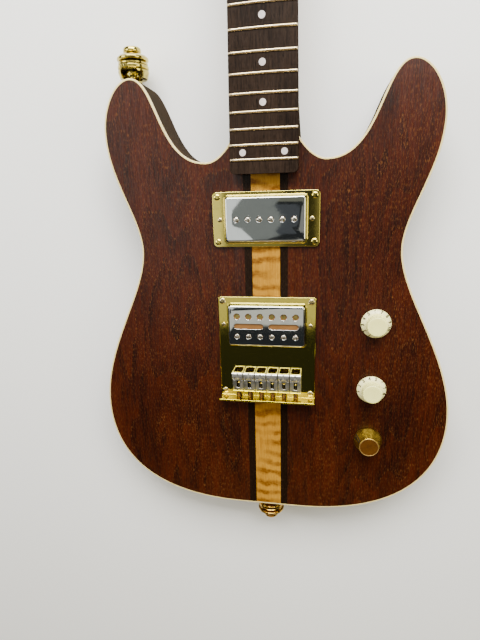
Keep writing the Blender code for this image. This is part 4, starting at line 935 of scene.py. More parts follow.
@dataclass(frozen=True)
class BodyShape:
    """Half outline of the body, from the neck round the treble side to the tail.

    Attributes:
        neck_edge: Half the width of the through neck.
        cutaway_start: Where the outline leaves the neck.
        cutaway_floor: Deepest point of the cutaway.
        horn_tip: Tip of the horn.
        upper_bout: Widest point above the waist.
        waist: Narrowest point.
        lower_bout: Widest point below the waist.
        tail: End of the body.
        samples: Points on each stretch of the outline.
    """

    neck_edge: float = 0.0285
    cutaway_start: float = 0.208
    cutaway_floor: tuple = (0.0515, 0.1907)
    horn_tip: tuple = (0.1148, 0.2604)
    upper_bout: tuple = (0.1415, 0.2165)
    waist: tuple = (0.1154, 0.116)
    lower_bout: tuple = (0.1646, -0.041)
    tail: float = -0.145
    samples: int = 26

    def path(self) -> list[Vector]:
        """Return the outline's points."""
        knots = [
            ((self.neck_edge, self.cutaway_start), -57, 0.0, 0.008),
            (self.cutaway_floor, 0, 0.010, 0.042),
            (self.horn_tip, 0, 0.024, 0.013),
            (self.upper_bout, -90, 0.024, 0.039),
            (self.waist, -90, 0.029, 0.0395),
            (self.lower_bout, -90, 0.062, 0.0605),
            ((self.neck_edge, self.tail), 180, 0.0935, 0.0),
        ]
        path = []
        for (start, heading, _, reach), (end, final, back, _) in zip(knots, knots[1:]):
            leave = Vector((math.cos(math.radians(heading)), math.sin(math.radians(heading)), 0))
            arrive = Vector((math.cos(math.radians(final)), math.sin(math.radians(final)), 0))
            first, last = Vector((*start, 0)), Vector((*end, 0))
            curve = interpolate_bezier(first, first + reach * leave, last - back * arrive, last, self.samples)
            path.extend(curve[:-1])
        path.append(Vector((self.neck_edge, self.tail, 0)))
        return path

    def inset(self, amount: float, side: Side = Side.TREBLE) -> Outline:
        """Return the outline moved inwards.

        Args:
            amount: How far it moves in.
            side: Which side of the body it is for.

        Returns:
            The points, from the neck to the tail.
        """
        path = self.path()
        points = []
        for index, point in enumerate(path):
            along = path[min(index + 1, len(path) - 1)] - path[max(index - 1, 0)]
            along.normalize()
            points.append(point + amount * Vector((along.y, -along.x, 0)))
        heading = (path[1] - path[0]).normalized()
        points[0] = Vector((self.neck_edge, path[0].y - amount / heading.x, 0))
        points[-1] = Vector((self.neck_edge, self.tail + amount, 0))
        return [(side.value * point.x, point.y) for point in points]


@dataclass
class Body:
    """The two wings and the binding in their rebate.

    Attributes:
        shape: The outline.
        back_round: Radius of the rounding along the back.
        binding_width: Width of the binding.
        binding_height: Height of the binding.
        binding_round: Rounding of the binding's outer edge.
        rout_half: Half the width of a pickup rout.
        rout_half_length: Half its length.
    """

    shape: BodyShape = BodyShape()
    back_round: float = 0.003
    binding_width: float = 0.0015
    binding_height: float = 0.0026
    binding_round: float = 0.0006
    rout_half: float = 0.0430
    rout_half_length: float = 0.0200

    def build(self) -> None:
        """Make the wings and the binding."""
        self.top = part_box("body_wing_bass")[1].z
        for side in Side:
            word = side.name.lower()
            wing = self.wing(f"{word}_wing_wood", side)
            dress(wing, Finish.WALNUT, MAIN_BODY, "walnut", f"body_wing_{word}")
        dress(self.binding(), Finish.CREAM, MAIN_BODY, "cream_binding", "body_binding")

    def wing(self, name: str, side: Side) -> Obj:
        """Make one wing, with its routs, bores and rounded back edge.

        Args:
            name: The object's name.
            side: Which wing it is.

        Returns:
            The wing.
        """
        rest = self.top - self.binding_height
        profile = [(r, z) for r, z in arc((self.back_round, self.back_round), self.back_round, 270, 180, 5)]
        profile += [(0.0, rest), (self.binding_width, rest), (self.binding_width, self.top)]
        rings = [lifted(self.shape.inset(inset, side), height) for inset, height in profile]
        tools = rout_tools(self.top, self.rout_half, self.rout_half_length)
        if side is Side.TREBLE:
            tools += self.treble_tools()
        return smooth(carve(loft(name, rings), tools), 30)

    def treble_tools(self) -> list[Obj]:
        """Return tools for what is let into the treble wing: cavity, cover, knobs and jack."""
        cover_low, cover_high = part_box("control_cover")
        pot_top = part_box("tone_pot")[0].z
        margin, gap, past = 0.004, 0.0003, 0.01
        ceiling = self.top - 0.006
        tools = [
            block("cover_seat", (cover_low.x - gap, cover_low.y - gap, -past),
                  (cover_high.x + gap, cover_high.y + gap, cover_high.z + gap)),
            block("cavity", (cover_low.x + margin, cover_low.y + margin, -past),
                  (cover_high.x - margin, cover_high.y - margin, max(ceiling, pot_top))),
        ]
        for knob in ("tone_knob", "volume_knob", "blend_knob"):
            low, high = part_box(knob)
            hole = rod(f"{knob}_hole", 0.0053, pot_top, self.top + past)
            tools.append(moved(hole, ((low.x + high.x) / 2, (low.y + high.y) / 2, 0)))
        low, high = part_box("jack_cup")
        bore = rod("jack_bore", 0.0093, 0, high.x)
        place = (cover_high.x - margin - 0.002, (low.y + high.y) / 2, (low.z + high.z) / 2)
        tools.append(moved(bore, place, (0, 90, 0)))
        return tools

    def binding(self) -> Obj:
        """Make the binding, from the bass side of the neck round the tail to the treble side."""
        low, high = self.top - self.binding_height, self.top
        corner = arc((self.binding_round, high - self.binding_round), self.binding_round, 180, 90, 4)
        profile = [(0.0, low), *corner, (self.binding_width, high), (self.binding_width, low)]
        rows = []
        for inset, height in profile:
            bass, treble = self.shape.inset(inset, Side.BASS), self.shape.inset(inset, Side.TREBLE)
            rows.append(lifted(bass + treble[::-1], height))
        rings = [list(ring) for ring in zip(*rows)]
        return smooth(loft("edge_binding", rings), 50)


def rout_tools(top: float, half: float, half_length: float) -> list[Obj]:
    """Return a box for each pickup rout."""
    tools = []
    for word in ("neck", "bridge"):
        low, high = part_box(f"{word}_pickup_cover")
        middle = (low.y + high.y) / 2
        floor = 0.0205
        tools.append(block(f"{word}_rout", (-half, middle - half_length, floor), (half, middle + half_length, top + 0.02)))
    return tools


# Neck and headstock


@dataclass
class ThroughNeck:
    """Five strips from the tail to the tip of the headstock.

    Attributes:
        centre_half: Half the width of the maple strip.
        stripe_width: Width of each dark stripe.
        block_half: Half the width of the neck inside the body.
        cutaway_start: Where the neck leaves the body's outline.
        raised_start: Where the neck rises over the body's face.
        heel_start: Where the heel starts to round.
        heel_length: How long the heel's rounding is.
        heel_depth: Depth of the shaft at the heel.
        nut_depth: Depth of the shaft at the nut.
        shaft_side: Height of the shaft's straight edge.
        roundness: Exponent of the shaft's section, 2 for an ellipse.
        head_half: Half the width of the head at its shoulders.
        head_tip_half: Half the width of the head at its tip.
        flare_length: How long the shoulders are.
        drop_length: How long the face takes to drop behind the nut.
        tip_corner: Radius of the tip's corners.
        volute_length: How long the shaft takes to turn into the head.
        edge_round: Rounding of the head's edges.
        binding_width: Width of the binding that crosses the tail.
        binding_height: Height of that binding.
    """

    centre_half: float = 0.0124
    stripe_width: float = 0.0068
    block_half: float = 0.0285
    cutaway_start: float = 0.208
    raised_start: float = 0.185
    heel_start: float = 0.198
    heel_length: float = 0.056
    heel_depth: float = 0.0185
    nut_depth: float = 0.016
    shaft_side: float = 0.004
    roundness: float = 2.3
    head_half: float = 0.039
    head_tip_half: float = 0.035
    flare_length: float = 0.034
    drop_length: float = 0.014
    tip_corner: float = 0.010
    volute_length: float = 0.034
    edge_round: float = 0.0013
    binding_width: float = 0.0015
    binding_height: float = 0.0026

    def build(self) -> None:
        """Make the five strips."""
        low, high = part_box("neck_centre")
        self.tail, self.tip, self.top = low.y, high.y, high.z
        self.body_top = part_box("body_wing_bass")[1].z
        self.nut_front, self.nut_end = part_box("nut")[0].y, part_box("nut")[1].y
        self.board_low, self.board_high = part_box("fretboard")
        self.head_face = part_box("tuner_housing_1")[1].z - 0.0018
        self.head_back = self.head_face - 0.014
        stripe = self.centre_half + self.stripe_width
        centre = self.strip("maple_centre", -self.centre_half, self.centre_half, 14)
        carve(centre, [*self.routs(), *self.rod_tools()])
        dress(smooth(centre, 30), Finish.MAPLE, MAIN_BODY, "maple", "neck_centre")
        for side in Side:
            word = side.name.lower()
            dark = self.strip(f"{word}_dark_stripe", side.value * self.centre_half, side.value * stripe, 4)
            carve(dark, self.routs())
            dress(smooth(dark, 30), Finish.STRIPE, MAIN_BODY, "dark_stripe", f"neck_stripe_{word}")
            outer = self.strip(f"{word}_neck_wood", side.value * stripe, None, 12)
            carve(outer, self.routs() + self.tuner_tools(side))
            dress(smooth(outer, 30), Finish.WALNUT, MAIN_BODY, "walnut", f"neck_side_{word}")

    def routs(self) -> list[Obj]:
        """Return tools for the pickup routs and the binding's rebate across the tail."""
        inner = self.tail + self.binding_width
        rebate = block("tail_rebate", (-2 * self.block_half, self.tail - 1, self.body_top - self.binding_height),
                       (2 * self.block_half, inner, self.body_top + 1))
        return [rebate, *rout_tools(self.body_top, 0.043, 0.020)]

    def rod_tools(self) -> list[Obj]:
        """Return tools for the rod's channel and the pocket of its nut."""
        low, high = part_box("truss_rod")
        nut_low, nut_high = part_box("truss_rod_nut")
        half, pocket, past = 0.0033, 0.0056, 0.02
        return [
            block("channel", (-half, low.y - 0.0003, low.z - 0.0003), (half, high.y + 0.003, self.top + past)),
            block("pocket", (-pocket, self.nut_end + 0.0003, nut_low.z - 0.0003),
                  (pocket, self.nut_end + 0.026, self.top + past)),
        ]

    def tuner_tools(self, side: Side) -> list[Obj]:
        """Return tools for one side's tuner holes."""
        tools = []
        for number in range(1, 7):
            low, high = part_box(f"tuner_post_{number}")
            middle = (low + high) / 2
            if middle.x * side.value > 0:
                tool = rod(f"tuner_hole_{number}", 0.0047, self.head_back - 0.01, self.top + 0.01)
                tools.append(moved(tool, (middle.x, middle.y, 0)))
        return tools

    def half_width(self, y: float) -> float:
        """Return half the width of the neck or head at a distance along it."""
        if y <= self.cutaway_start:
            return self.block_half
        nut_half = self.board_high.x if y > self.nut_end else 0.0
        board_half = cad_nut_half()
        share = (min(y, self.nut_front) - self.board_low.y) / (self.nut_front - self.board_low.y)
        if y <= self.nut_end:
            return blend(self.block_half, board_half, share)
        del nut_half
        flare = smoothstep((y - self.nut_end) / self.flare_length)
        straight = blend(self.head_half, self.head_tip_half, (y - self.nut_end) / (self.tip - self.nut_end))
        left = self.tip - y
        if left < self.tip_corner:
            drop = self.tip_corner - left
            straight -= self.tip_corner - math.sqrt(max(self.tip_corner**2 - drop**2, 0.0))
        return blend(board_half, straight, flare)

    def back(self, x: float, y: float) -> float:
        """Return the height of the neck's back at a point."""
        heel_end = self.heel_start + self.heel_length
        heel = smoothstep((y - self.heel_start) / self.heel_length)
        head = smoothstep((y - self.nut_front + self.volute_length / 2) / self.volute_length)
        along = min(max((y - heel_end) / (self.nut_front - heel_end), 0.0), 1.0)
        head_depth = self.top - self.head_back
        shaft = blend(self.heel_depth, self.nut_depth, along)
        depth = blend(blend(self.top, shaft, heel), head_depth, head)
        side = blend(blend(self.top, self.shaft_side, min(1.0, 1.5 * heel)), head_depth, head)
        across = min(abs(x) / self.half_width(y), 1.0)
        bulge = (1 - across**self.roundness) ** (1 / self.roundness)
        return self.top - side - max(depth - side, 0.0) * bulge

    def stations(self) -> list[tuple[float, float]]:
        """Return places along the neck, each with the height of the front face there."""
        found = [(self.tail, self.body_top), (self.raised_start, self.body_top)]
        found += [(self.raised_start + 0.0008, self.top), (self.heel_start, self.top)]
        heel_steps, shaft_steps, volute_steps, head_steps, corner_steps = 20, 12, 14, 16, 10
        heel_end = self.heel_start + self.heel_length
        volute_start = self.nut_front - self.volute_length / 2
        for step in range(1, heel_steps + 1):
            found.append((blend(self.heel_start, heel_end, step / heel_steps), self.top))
        for step in range(1, shaft_steps + 1):
            found.append((blend(heel_end, volute_start, step / shaft_steps), self.top))
        for step in range(1, volute_steps):
            found.append((blend(volute_start, self.nut_end, step / volute_steps), self.top))
        found.append((self.nut_end, self.top))
        for step in range(1, head_steps + 1):
            y = self.nut_end + self.flare_length * step / head_steps
            drop = smoothstep((y - self.nut_end) / self.drop_length)
            found.append((y, blend(self.top, self.head_face, drop)))
        for step in range(corner_steps + 1):
            turn = math.pi / 2 * step / corner_steps
            found.append((self.tip - self.tip_corner * (1 - math.sin(turn)), self.head_face))
        return found

    def strip(self, name: str, inner: float, outer: float | None, steps: int) -> Obj:
        """Make one strip.

        Args:
            name: The object's name.
            inner: Its edge nearer the bass side, or nearer the centre line.
            outer: Its other edge, or None where it is the neck's own edge.
            steps: Points across its back.

        Returns:
            The strip.
        """
        rings = []
        for y, top in self.stations():
            edge = math.copysign(self.half_width(y), inner) if outer is None else outer
            fillet = self.edge_fillet(y) if outer is None else 0.0
            inwards = math.copysign(1.0, inner - edge)
            ring = [(inner, y, top)]
            for step in range(4):
                turn = math.pi / 2 * step / 3
                x = edge + inwards * fillet * (1 - math.sin(turn))
                ring.append((x, y, top - fillet * (1 - math.cos(turn))))
            for step in range(steps + 1):
                x = blend(edge, inner, (step / steps) ** 1.5)
                rise = fillet * (1 - min(1.0, abs(x - edge) / max(fillet, 1e-6))) ** 2
                ring.append((x, y, self.back(x, y) + rise))
            if y >= self.tip - 1e-6:
                ring = [(x, y, z + (0.0008 if z < (top + self.head_back) / 2 else -0.0008)) for x, y, z in ring]
            rings.append(ring)
        return loft(name, rings)

    def edge_fillet(self, y: float) -> float:
        """Return how far the neck's outer edges are rounded at a distance along it."""
        return 0.00002 + self.edge_round * smoothstep((y - self.nut_end) / self.drop_length)


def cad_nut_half() -> float:
    """Return half the width of the nut."""
    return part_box("nut")[1].x


@dataclass
class Fretboard:
    """Board, frets, dots and nut.

    Attributes:
        crown_radius: Radius of the board's face.
        corner: Radius of the corners at its body end.
        fret_width: Width of a fret's crown.
        fret_height: Height of a fret over the board.
        fret_slope: How far a fret's end slopes in.
        dot_radius: Radius of the dots in the face.
        side_dot_radius: Radius of the dots in the bass edge.
        single_dots: Frets with one dot before them.
        double_dots: Frets with two.
        double_spread: Distance of a double dot from the centre line near the body.
    """

    crown_radius: float = 0.305
    corner: float = 0.004
    fret_width: float = 0.0022
    fret_height: float = 0.0011
    fret_slope: float = 0.0009
    dot_radius: float = 0.0027
    side_dot_radius: float = 0.0010
    single_dots: tuple = (3, 5, 7, 9, 15, 17, 19, 21)
    double_dots: tuple = (12, 24)
    double_spread: float = 0.0173

    def build(self) -> None:
        """Make the board, the frets and the dots, and finish the nut."""
        self.low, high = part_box("fretboard")
        self.bottom, self.top = self.low.z, high.z - self.fret_height
        self.length = high.y
        self.nut_half, self.end_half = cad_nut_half(), high.x
        self.count = 24
        dress(self.board(), Finish.ROSEWOOD, MAIN_BODY, "rosewood", "fretboard")
        frets = [self.fret(number) for number in range(1, self.count + 1)]
        dress(smooth(fused("frets", frets), 50), Finish.FRET_WIRE, MAIN_BODY, "steel")
        dress(self.face_dots(), Finish.PEARL, MAIN_BODY, "cream_binding")
        dress(self.side_dots(), Finish.PEARL, MAIN_BODY, "cream_binding")
        nut = copied(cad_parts["nut"], "string_nut")
        dress(soften(nut, 0.00022, 2), Finish.BONE, MAIN_BODY, "nut_bone", "nut")

    def half(self, y: float) -> float:
        """Return half the board's width at a distance from the saddles."""
        return blend(self.end_half, self.nut_half, (y - self.low.y) / (self.length - self.low.y))

    def fret_y(self, number: float) -> float:
        """Return a fret's distance from the saddles, in equal temperament."""
        return self.length * 2 ** (-number / 12)

    def crown(self, x: float) -> float:
        """Return the height of the board's face at a distance from the centre line."""
        return self.top - x * x / (2 * self.crown_radius)

    def board(self) -> Obj:
        """Make the board."""
        stations = []
        for step in range(9):
            turn = math.pi / 2 * step / 8
            y = self.low.y + self.corner * (1 - math.cos(turn))
            stations.append((y, self.half(y) - self.corner * (1 - math.sin(turn))))
        stations += [(y, self.half(y)) for y in (0.3, 0.45, 0.6, self.length)]
        rings, steps, edge = [], 16, 0.0003
        for y, half in stations:
            ring = [(-half, y, self.bottom), (half, y, self.bottom), (half, y, self.crown(half) - edge)]
            for step in range(steps + 1):
                x = (half - edge) * (1 - 2 * step / steps)
                ring.append((x, y, self.crown(x)))
            ring.append((-half, y, self.crown(half) - edge))
            rings.append(ring)
        return smooth(loft("fingerboard", rings), 30)

    def fret(self, number: int) -> Obj:
        """Make one fret: a half-round crown whose ends slope in."""
        middle, half = self.fret_y(number), self.half(self.fret_y(number)) - 0.0001
        rings, across, around = [], 14, 8
        for step in range(across + 1):
            place = -half + 2 * half * step / across
            for inset, share in self.fret_ends(step, across):
                ring = [(place + inset, middle - self.fret_width / 2, self.crown(half) - 0.0005)]
                for turn in range(around + 1):
                    angle = math.pi * (1 - turn / around)
                    y = middle + self.fret_width / 2 * math.cos(angle)
                    z = self.crown(place + inset) + share * self.fret_height * math.sin(angle) ** 0.8
                    ring.append((place + inset, y, z))
                ring.append((place + inset, middle + self.fret_width / 2, self.crown(half) - 0.0005))
                rings.append(ring)
        return loft(f"fret_{number}", rings)

    def fret_ends(self, step: int, last: int) -> list[tuple[float, float]]:
        """Return how a fret's end slopes, as pairs of inset and share of its height."""
        if step == 0:
            return [(0.0, 0.12), (0.45 * self.fret_slope, 0.72), (self.fret_slope, 1.0)]
        if step == last:
            return [(-self.fret_slope, 1.0), (-0.45 * self.fret_slope, 0.72), (0.0, 0.12)]
        return [(0.0, 1.0)]

    def face_dots(self) -> Obj:
        """Make the dots in the face, halfway between frets."""
        spots = [(0.0, self.fret_y(number - 0.5)) for number in self.single_dots]
        for number in self.double_dots:
            y = self.fret_y(number - 0.5)
            reach = self.double_spread * self.half(y) / self.half(self.low.y)
            spots += [(-reach, y), (reach, y)]
        dots = []
        for index, (x, y) in enumerate(spots):
            dot = lathe(f"dot_{index}", [(0, -0.0008), (self.dot_radius, -0.0008), (self.dot_radius, 0.00004), (0, 0.0001)], 32)
            lean = math.degrees(math.asin(x / self.crown_radius))
            dots.append(moved(dot, (x, y, self.crown(x)), (0, lean, 0)))
        return smooth(fused("face_dots", dots), 30)

    def side_dots(self) -> Obj:
        """Make the small dots in the bass edge."""
        dots = []
        for number in (*self.single_dots, *self.double_dots):
            y = self.fret_y(number - 0.5)
            offsets = (-0.003, 0.003) if number in self.double_dots else (0.0,)
            for offset in offsets:
                dot = rod(f"side_dot_{number}", self.side_dot_radius, -0.0008, 0.00006, 20)
                place = (-self.half(y + offset), y + offset, (self.bottom + self.top) / 2)
                dots.append(moved(dot, place, (0, -90, 0)))
        return fused("side_dots", dots)


@dataclass
class Tuners:
    """Six tuners, three a side.

    Attributes:
        case_width: Width of the gear housing.
        case_length: Length of the gear housing.
        sleeve_radius: Radius of the threaded sleeve.
        bore_radius: Radius of its bore.
        nut_radius: Radius of the sleeve's hexagon over its corners.
        washer_radius: Radius of the washer under it.
        post_radius: Radius of the string post.
        waist_radius: Radius of its waist.
        shaft_radius: Radius of the key's shaft.
        key_half_width: Half the width of the key's button.
        key_half_thickness: Half its thickness.
    """

    case_width: float = 0.014
    case_length: float = 0.023
    sleeve_radius: float = 0.0044
    bore_radius: float = 0.0033
    nut_radius: float = 0.0058
    washer_radius: float = 0.0058
    post_radius: float = 0.003
    waist_radius: float = 0.0023
    shaft_radius: float = 0.0019
    key_half_width: float = 0.0095
    key_half_thickness: float = 0.0036

    def build(self) -> None:
        """Make every tuner."""
        for number in range(1, 7):
            self.housing(number)
            self.post(number)
            self.key(number)

    def housing(self, number: int) -> None:
        """Make one housing with its sleeve, washer, hexagon and fixing screw."""
        low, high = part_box(f"tuner_housing_{number}")
        post_low, post_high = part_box(f"tuner_post_{number}")
        x, y = (post_low.x + post_high.x) / 2, (post_low.y + post_high.y) / 2
        case_top = low.z + 0.0095
        middle_y = low.y + self.case_length / 2
        outline = rounded(self.case_width / 2, self.case_length / 2, 0.0035, (x, middle_y), 8)
        small = rounded(self.case_width / 2 - 0.0016, self.case_length / 2 - 0.0016, 0.0022, (x, middle_y), 8)
        case = loft("case", [lifted(small, low.z), lifted(outline, low.z + 0.0018), lifted(outline, case_top)])
        side = math.copysign(1.0, x)
        key_low, key_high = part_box(f"tuner_key_{number}")
        boss = lathe("boss", [(0, 0), (0.0036, 0), (0.0036, 0.0062), (0.0031, 0.0069), (0, 0.0069)], 32)
        moved(boss, (x, (key_low.y + key_high.y) / 2, (key_low.z + key_high.z) / 2), (0, 90 * side, 0))
        case = soften(carve(case, [boss], Way.JOIN), 0.0005, 3)
        bore = moved(rod("bore", self.bore_radius, low.z + 0.003, high.z + 0.01), (x, y, 0))
        shaft = rod("shaft", self.shaft_radius + 0.0002, 0, 0.02)
        moved(shaft, (x, (key_low.y + key_high.y) / 2, (key_low.z + key_high.z) / 2), (0, 90 * side, 0))
        carve(case, [bore, shaft])
        face = high.z - 0.0015
        washer = lathe("washer", [
            (self.bore_radius, face), (self.washer_radius, face), (self.washer_radius, face + 0.0005),
            (self.bore_radius, face + 0.0005)], 40)
        moved(washer, (x, y, 0))
        hexagon = lathe("hexagon", [
            (self.bore_radius, face + 0.0005), (self.nut_radius, face + 0.0005), (self.nut_radius, high.z),
            (self.bore_radius, high.z)], 6)
        moved(soften(hexagon, 0.0003, 2), (x, y, 0), (0, 0, 17 * number))
        sleeve = lathe("sleeve", [
            (self.bore_radius, case_top - 0.001), (self.sleeve_radius, case_top - 0.001), (self.sleeve_radius, face),
            (self.bore_radius, face)], 32)
        moved(sleeve, (x, y, 0))
        ear = ScrewHead(0.0019, 0.0009).row("ear_screw", [(x, middle_y - 0.0085, low.z - 0.0001)], lean=(180, 0, 0))
        whole = fused(f"tuner_case_{number}", [smooth(case, 30), washer, hexagon, smooth(sleeve), ear])
        dress(whole, Finish.GOLD, MAIN_BODY, "gold", f"tuner_housing_{number}")

    def post(self, number: int) -> None:
        """Make one post, with its groove, string hole and rounded top."""
        low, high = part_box(f"tuner_post_{number}")
        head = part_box("tuner_housing_1")[1].z - 0.0018
        rise = high.z - head
        profile = [(0, low.z), (self.post_radius, low.z), (self.post_radius, head + 0.35 * rise)]
        steps = 10
        for step in range(steps + 1):
            share = step / steps
            radius = blend(self.post_radius, self.waist_radius, math.sin(math.pi * share))
            profile.append((radius, head + rise * blend(0.36, 0.84, share)))
        profile += [(self.post_radius, high.z - 0.0006), (self.post_radius - 0.0006, high.z), (0.0012, high.z)]
        profile += [(0.0012, high.z - 0.002), (0, high.z - 0.002)]
        post = lathe(f"string_post_{number}", profile, 40)
        hole = moved(rod("string_hole", 0.0009, -0.01, 0.01, 16), (0, 0, head + 0.6 * rise), (90, 0, 20 * number))
        carve(post, [hole])
        moved(post, ((low.x + high.x) / 2, (low.y + high.y) / 2, 0))
        dress(smooth(post), Finish.GOLD, f"tuner_post_{number}", "gold", f"tuner_post_{number}")

    def key(self, number: int) -> None:
        """Make one key: shaft, collar and a button with full sides."""
        low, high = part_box(f"tuner_key_{number}")
        side = 1 if low.x + high.x > 0 else -1
        y, z = (low.y + high.y) / 2, (low.z + high.z) / 2
        inner, outer = (low.x, high.x) if side > 0 else (-high.x, -low.x)
        shaft, length = self.shaft_radius, 0.0165
        start = outer - length
        sections = [(inner, 0.6 * shaft, 0.6 * shaft), (inner + 0.0005, shaft, shaft)]
        sections += [(start - 0.0058, shaft, shaft), (start - 0.0057, 1.6 * shaft, 1.6 * shaft)]
        sections += [(start - 0.0040, 1.6 * shaft, 1.6 * shaft), (start - 0.0036, 1.2 * shaft, 1.2 * shaft)]
        sections += [(start, 1.25 * shaft, 1.25 * shaft)]
        steps = 18
        for step in range(1, steps + 1):
            share = step / steps
            swell = math.sin(math.pi * min(share, 0.999) ** 0.72) ** 0.42
            sections.append((
                start + length * share,
                blend(1.25 * shaft, self.key_half_width, smoothstep(share / 0.3)) * max(swell, 0.28),
                blend(1.25 * shaft, self.key_half_thickness, smoothstep(share / 0.3)) * max(swell, 0.35),
            ))
        rings = []
        for x, half_y, half_z in sections:
            angles = [math.tau * turn / 36 for turn in range(36)]
            rings.append([(side * x, y + half_y * math.cos(a), z + half_z * math.sin(a)) for a in angles])
        key = loft(f"tuner_button_{number}", rings)
        dress(smooth(key, 45), Finish.GOLD, f"tuner_key_{number}", "gold", f"tuner_key_{number}")


# Pickups and bridge


@dataclass
class Pickup:
    """A covered pickup.

    Attributes:
        word: Which pickup it is, neck or bridge.
        poles: Distance of the pole screws' row from the middle.
        pitch: Distance between poles.
        windows: Whether round windows and slots show the second coil.
        wall: Thickness of the cover.
        corner: Radius of its corners.
        edge: Rounding of its top edge.
        pole_radius: Radius of a pole screw.
        window_row: Distance of the windows' row from the middle.
        window_radius: Radius of a window.
        slug_radius: Radius of the slug under it.
        slot_row: Distance of the slots' row from the middle.
        slot_size: Length and width of a slot.
        slot_bar: Width of the bar between the slots.
    """

    word: str
    poles: float
    pitch: float
    windows: bool = False
    wall: float = 0.0008
    corner: float = 0.0025
    edge: float = 0.0013
    pole_radius: float = 0.0021
    window_row: float = 0.0087
    window_radius: float = 0.0029
    slug_radius: float = 0.0021
    slot_row: float = -0.0005
    slot_size: tuple = (0.0268, 0.0050)
    slot_bar: float = 0.0052

    def build(self) -> None:
        """Make the cover, the coils under it and the pole screws."""
        low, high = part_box(f"{self.word}_pickup_cover")
        self.middle = Vector(((low.x + high.x) / 2, (low.y + high.y) / 2, 0))
        self.half_x, self.half_y = (high.x - low.x) / 2, (high.y - low.y) / 2
        self.bottom, self.top = low.z, high.z
        body, node = f"{self.word}_pickup", f"{self.word}_pickup_cover"
        dress(self.cover(), Finish.CHROME, body, "chrome", node)
        dress(self.coils(), Finish.COPPER_COIL, body, "bobbin", f"{self.word}_pickup_base")
        dress(self.pole_screws(), Finish.NICKEL, body, "steel")
        if self.windows:
            dress(self.slugs(), Finish.SLUG, body, "steel")

    def row(self, offset: float) -> Outline:
        """Return six places across the strings at a distance from the middle."""
        return [((index - 2.5) * self.pitch, self.middle.y + offset) for index in range(6)]

    def cover(self) -> Obj:
        """Make the pressed cover, with its rounded edge and its holes."""
        centre = (self.middle.x, self.middle.y)
        inner = (self.half_x - self.wall, self.half_y - self.wall, self.corner - self.wall, centre)
        rings = [lifted(rounded(*inner), self.top - self.wall), lifted(rounded(*inner), self.bottom)]
        rings.append(lifted(rounded(self.half_x, self.half_y, self.corner, centre), self.bottom))
        for r, z in arc((self.edge, self.top - self.edge), self.edge, 180, 90, 6):
            outline = rounded(self.half_x - r, self.half_y - r, max(self.corner - r, 0.0004), centre)
            rings.append(lifted(outline, z))
        cover = loft(f"{self.word}_cover_pressing", rings)
        low, high = self.top - 3 * self.wall, self.top + 0.01
        holes = [moved(rod("pole_hole", self.pole_radius + 0.0003, low, high), (x, y, 0))
                 for x, y in self.row(self.poles)]
        if self.windows:
            holes += [moved(rod("window", self.window_radius, low, high), (x, y, 0))
                      for x, y in self.row(self.window_row)]
            length, width = self.slot_size
            for side in Side:
                middle = (side.value * (self.slot_bar + length) / 2, self.middle.y + self.slot_row)
                slot = rounded(length / 2, width / 2, 0.49 * width, middle)
                holes.append(loft("slot", [lifted(slot, low), lifted(slot, high)]))
        carve(cover, holes)
        return soften(cover, 0.00022, 2)

    def coils(self) -> Obj:
        """Make the baseplate with its ears and the coil forms that show through the windows."""
        low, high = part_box(f"{self.word}_pickup_base")
        centre = (self.middle.x, self.middle.y)
        plate_top = self.bottom - 0.0003
        inset = self.wall + 0.0005
        form = rounded(self.half_x - inset, self.half_y - inset, 0.0017, centre)
        shapes = [loft("form", [lifted(form, plate_top), lifted(form, self.top - self.wall - 0.0003)])]
        plate = rounded(self.half_x - 0.0003, self.half_y - 0.0003, self.corner, centre)
        shapes.append(loft("plate", [lifted(plate, low.z), lifted(plate, plate_top)]))
        ears = rounded(high.x, 0.005, 0.002, centre)
        ear = loft("ears", [lifted(ears, low.z + 0.0002), lifted(ears, low.z + 0.0013)])
        eyes = [moved(rod("eye", 0.0015, low.z - 0.01, low.z + 0.01), (side.value * 0.040, centre[1], 0))
                for side in Side]
        shapes.append(carve(ear, eyes))
        return smooth(fused(f"{self.word}_coil_forms", shapes), 30)

    def pole_screws(self) -> Obj:
        """Make the six slotted pole screws."""
        screw = ScrewHead(self.pole_radius, 0.0009, Drive.SLOT, 0.003)
        places = [(x, y, self.top - 0.0004) for x, y in self.row(self.poles)]
        return screw.row(f"{self.word}_pole_screws", places, 37)


    def slugs(self) -> Obj:
        """Make the six plain slugs that show in the round windows."""
        top = self.top - self.wall - 0.0001
        profile = [(0, -0.003), (self.slug_radius, -0.003), (self.slug_radius, -0.0002),
                   (self.slug_radius - 0.0002, 0), (0, 0)]
        slugs = [moved(lathe("slug", profile, 32), (x, y, top)) for x, y in self.row(self.window_row)]
        return smooth(fused(f"{self.word}_slugs", slugs))


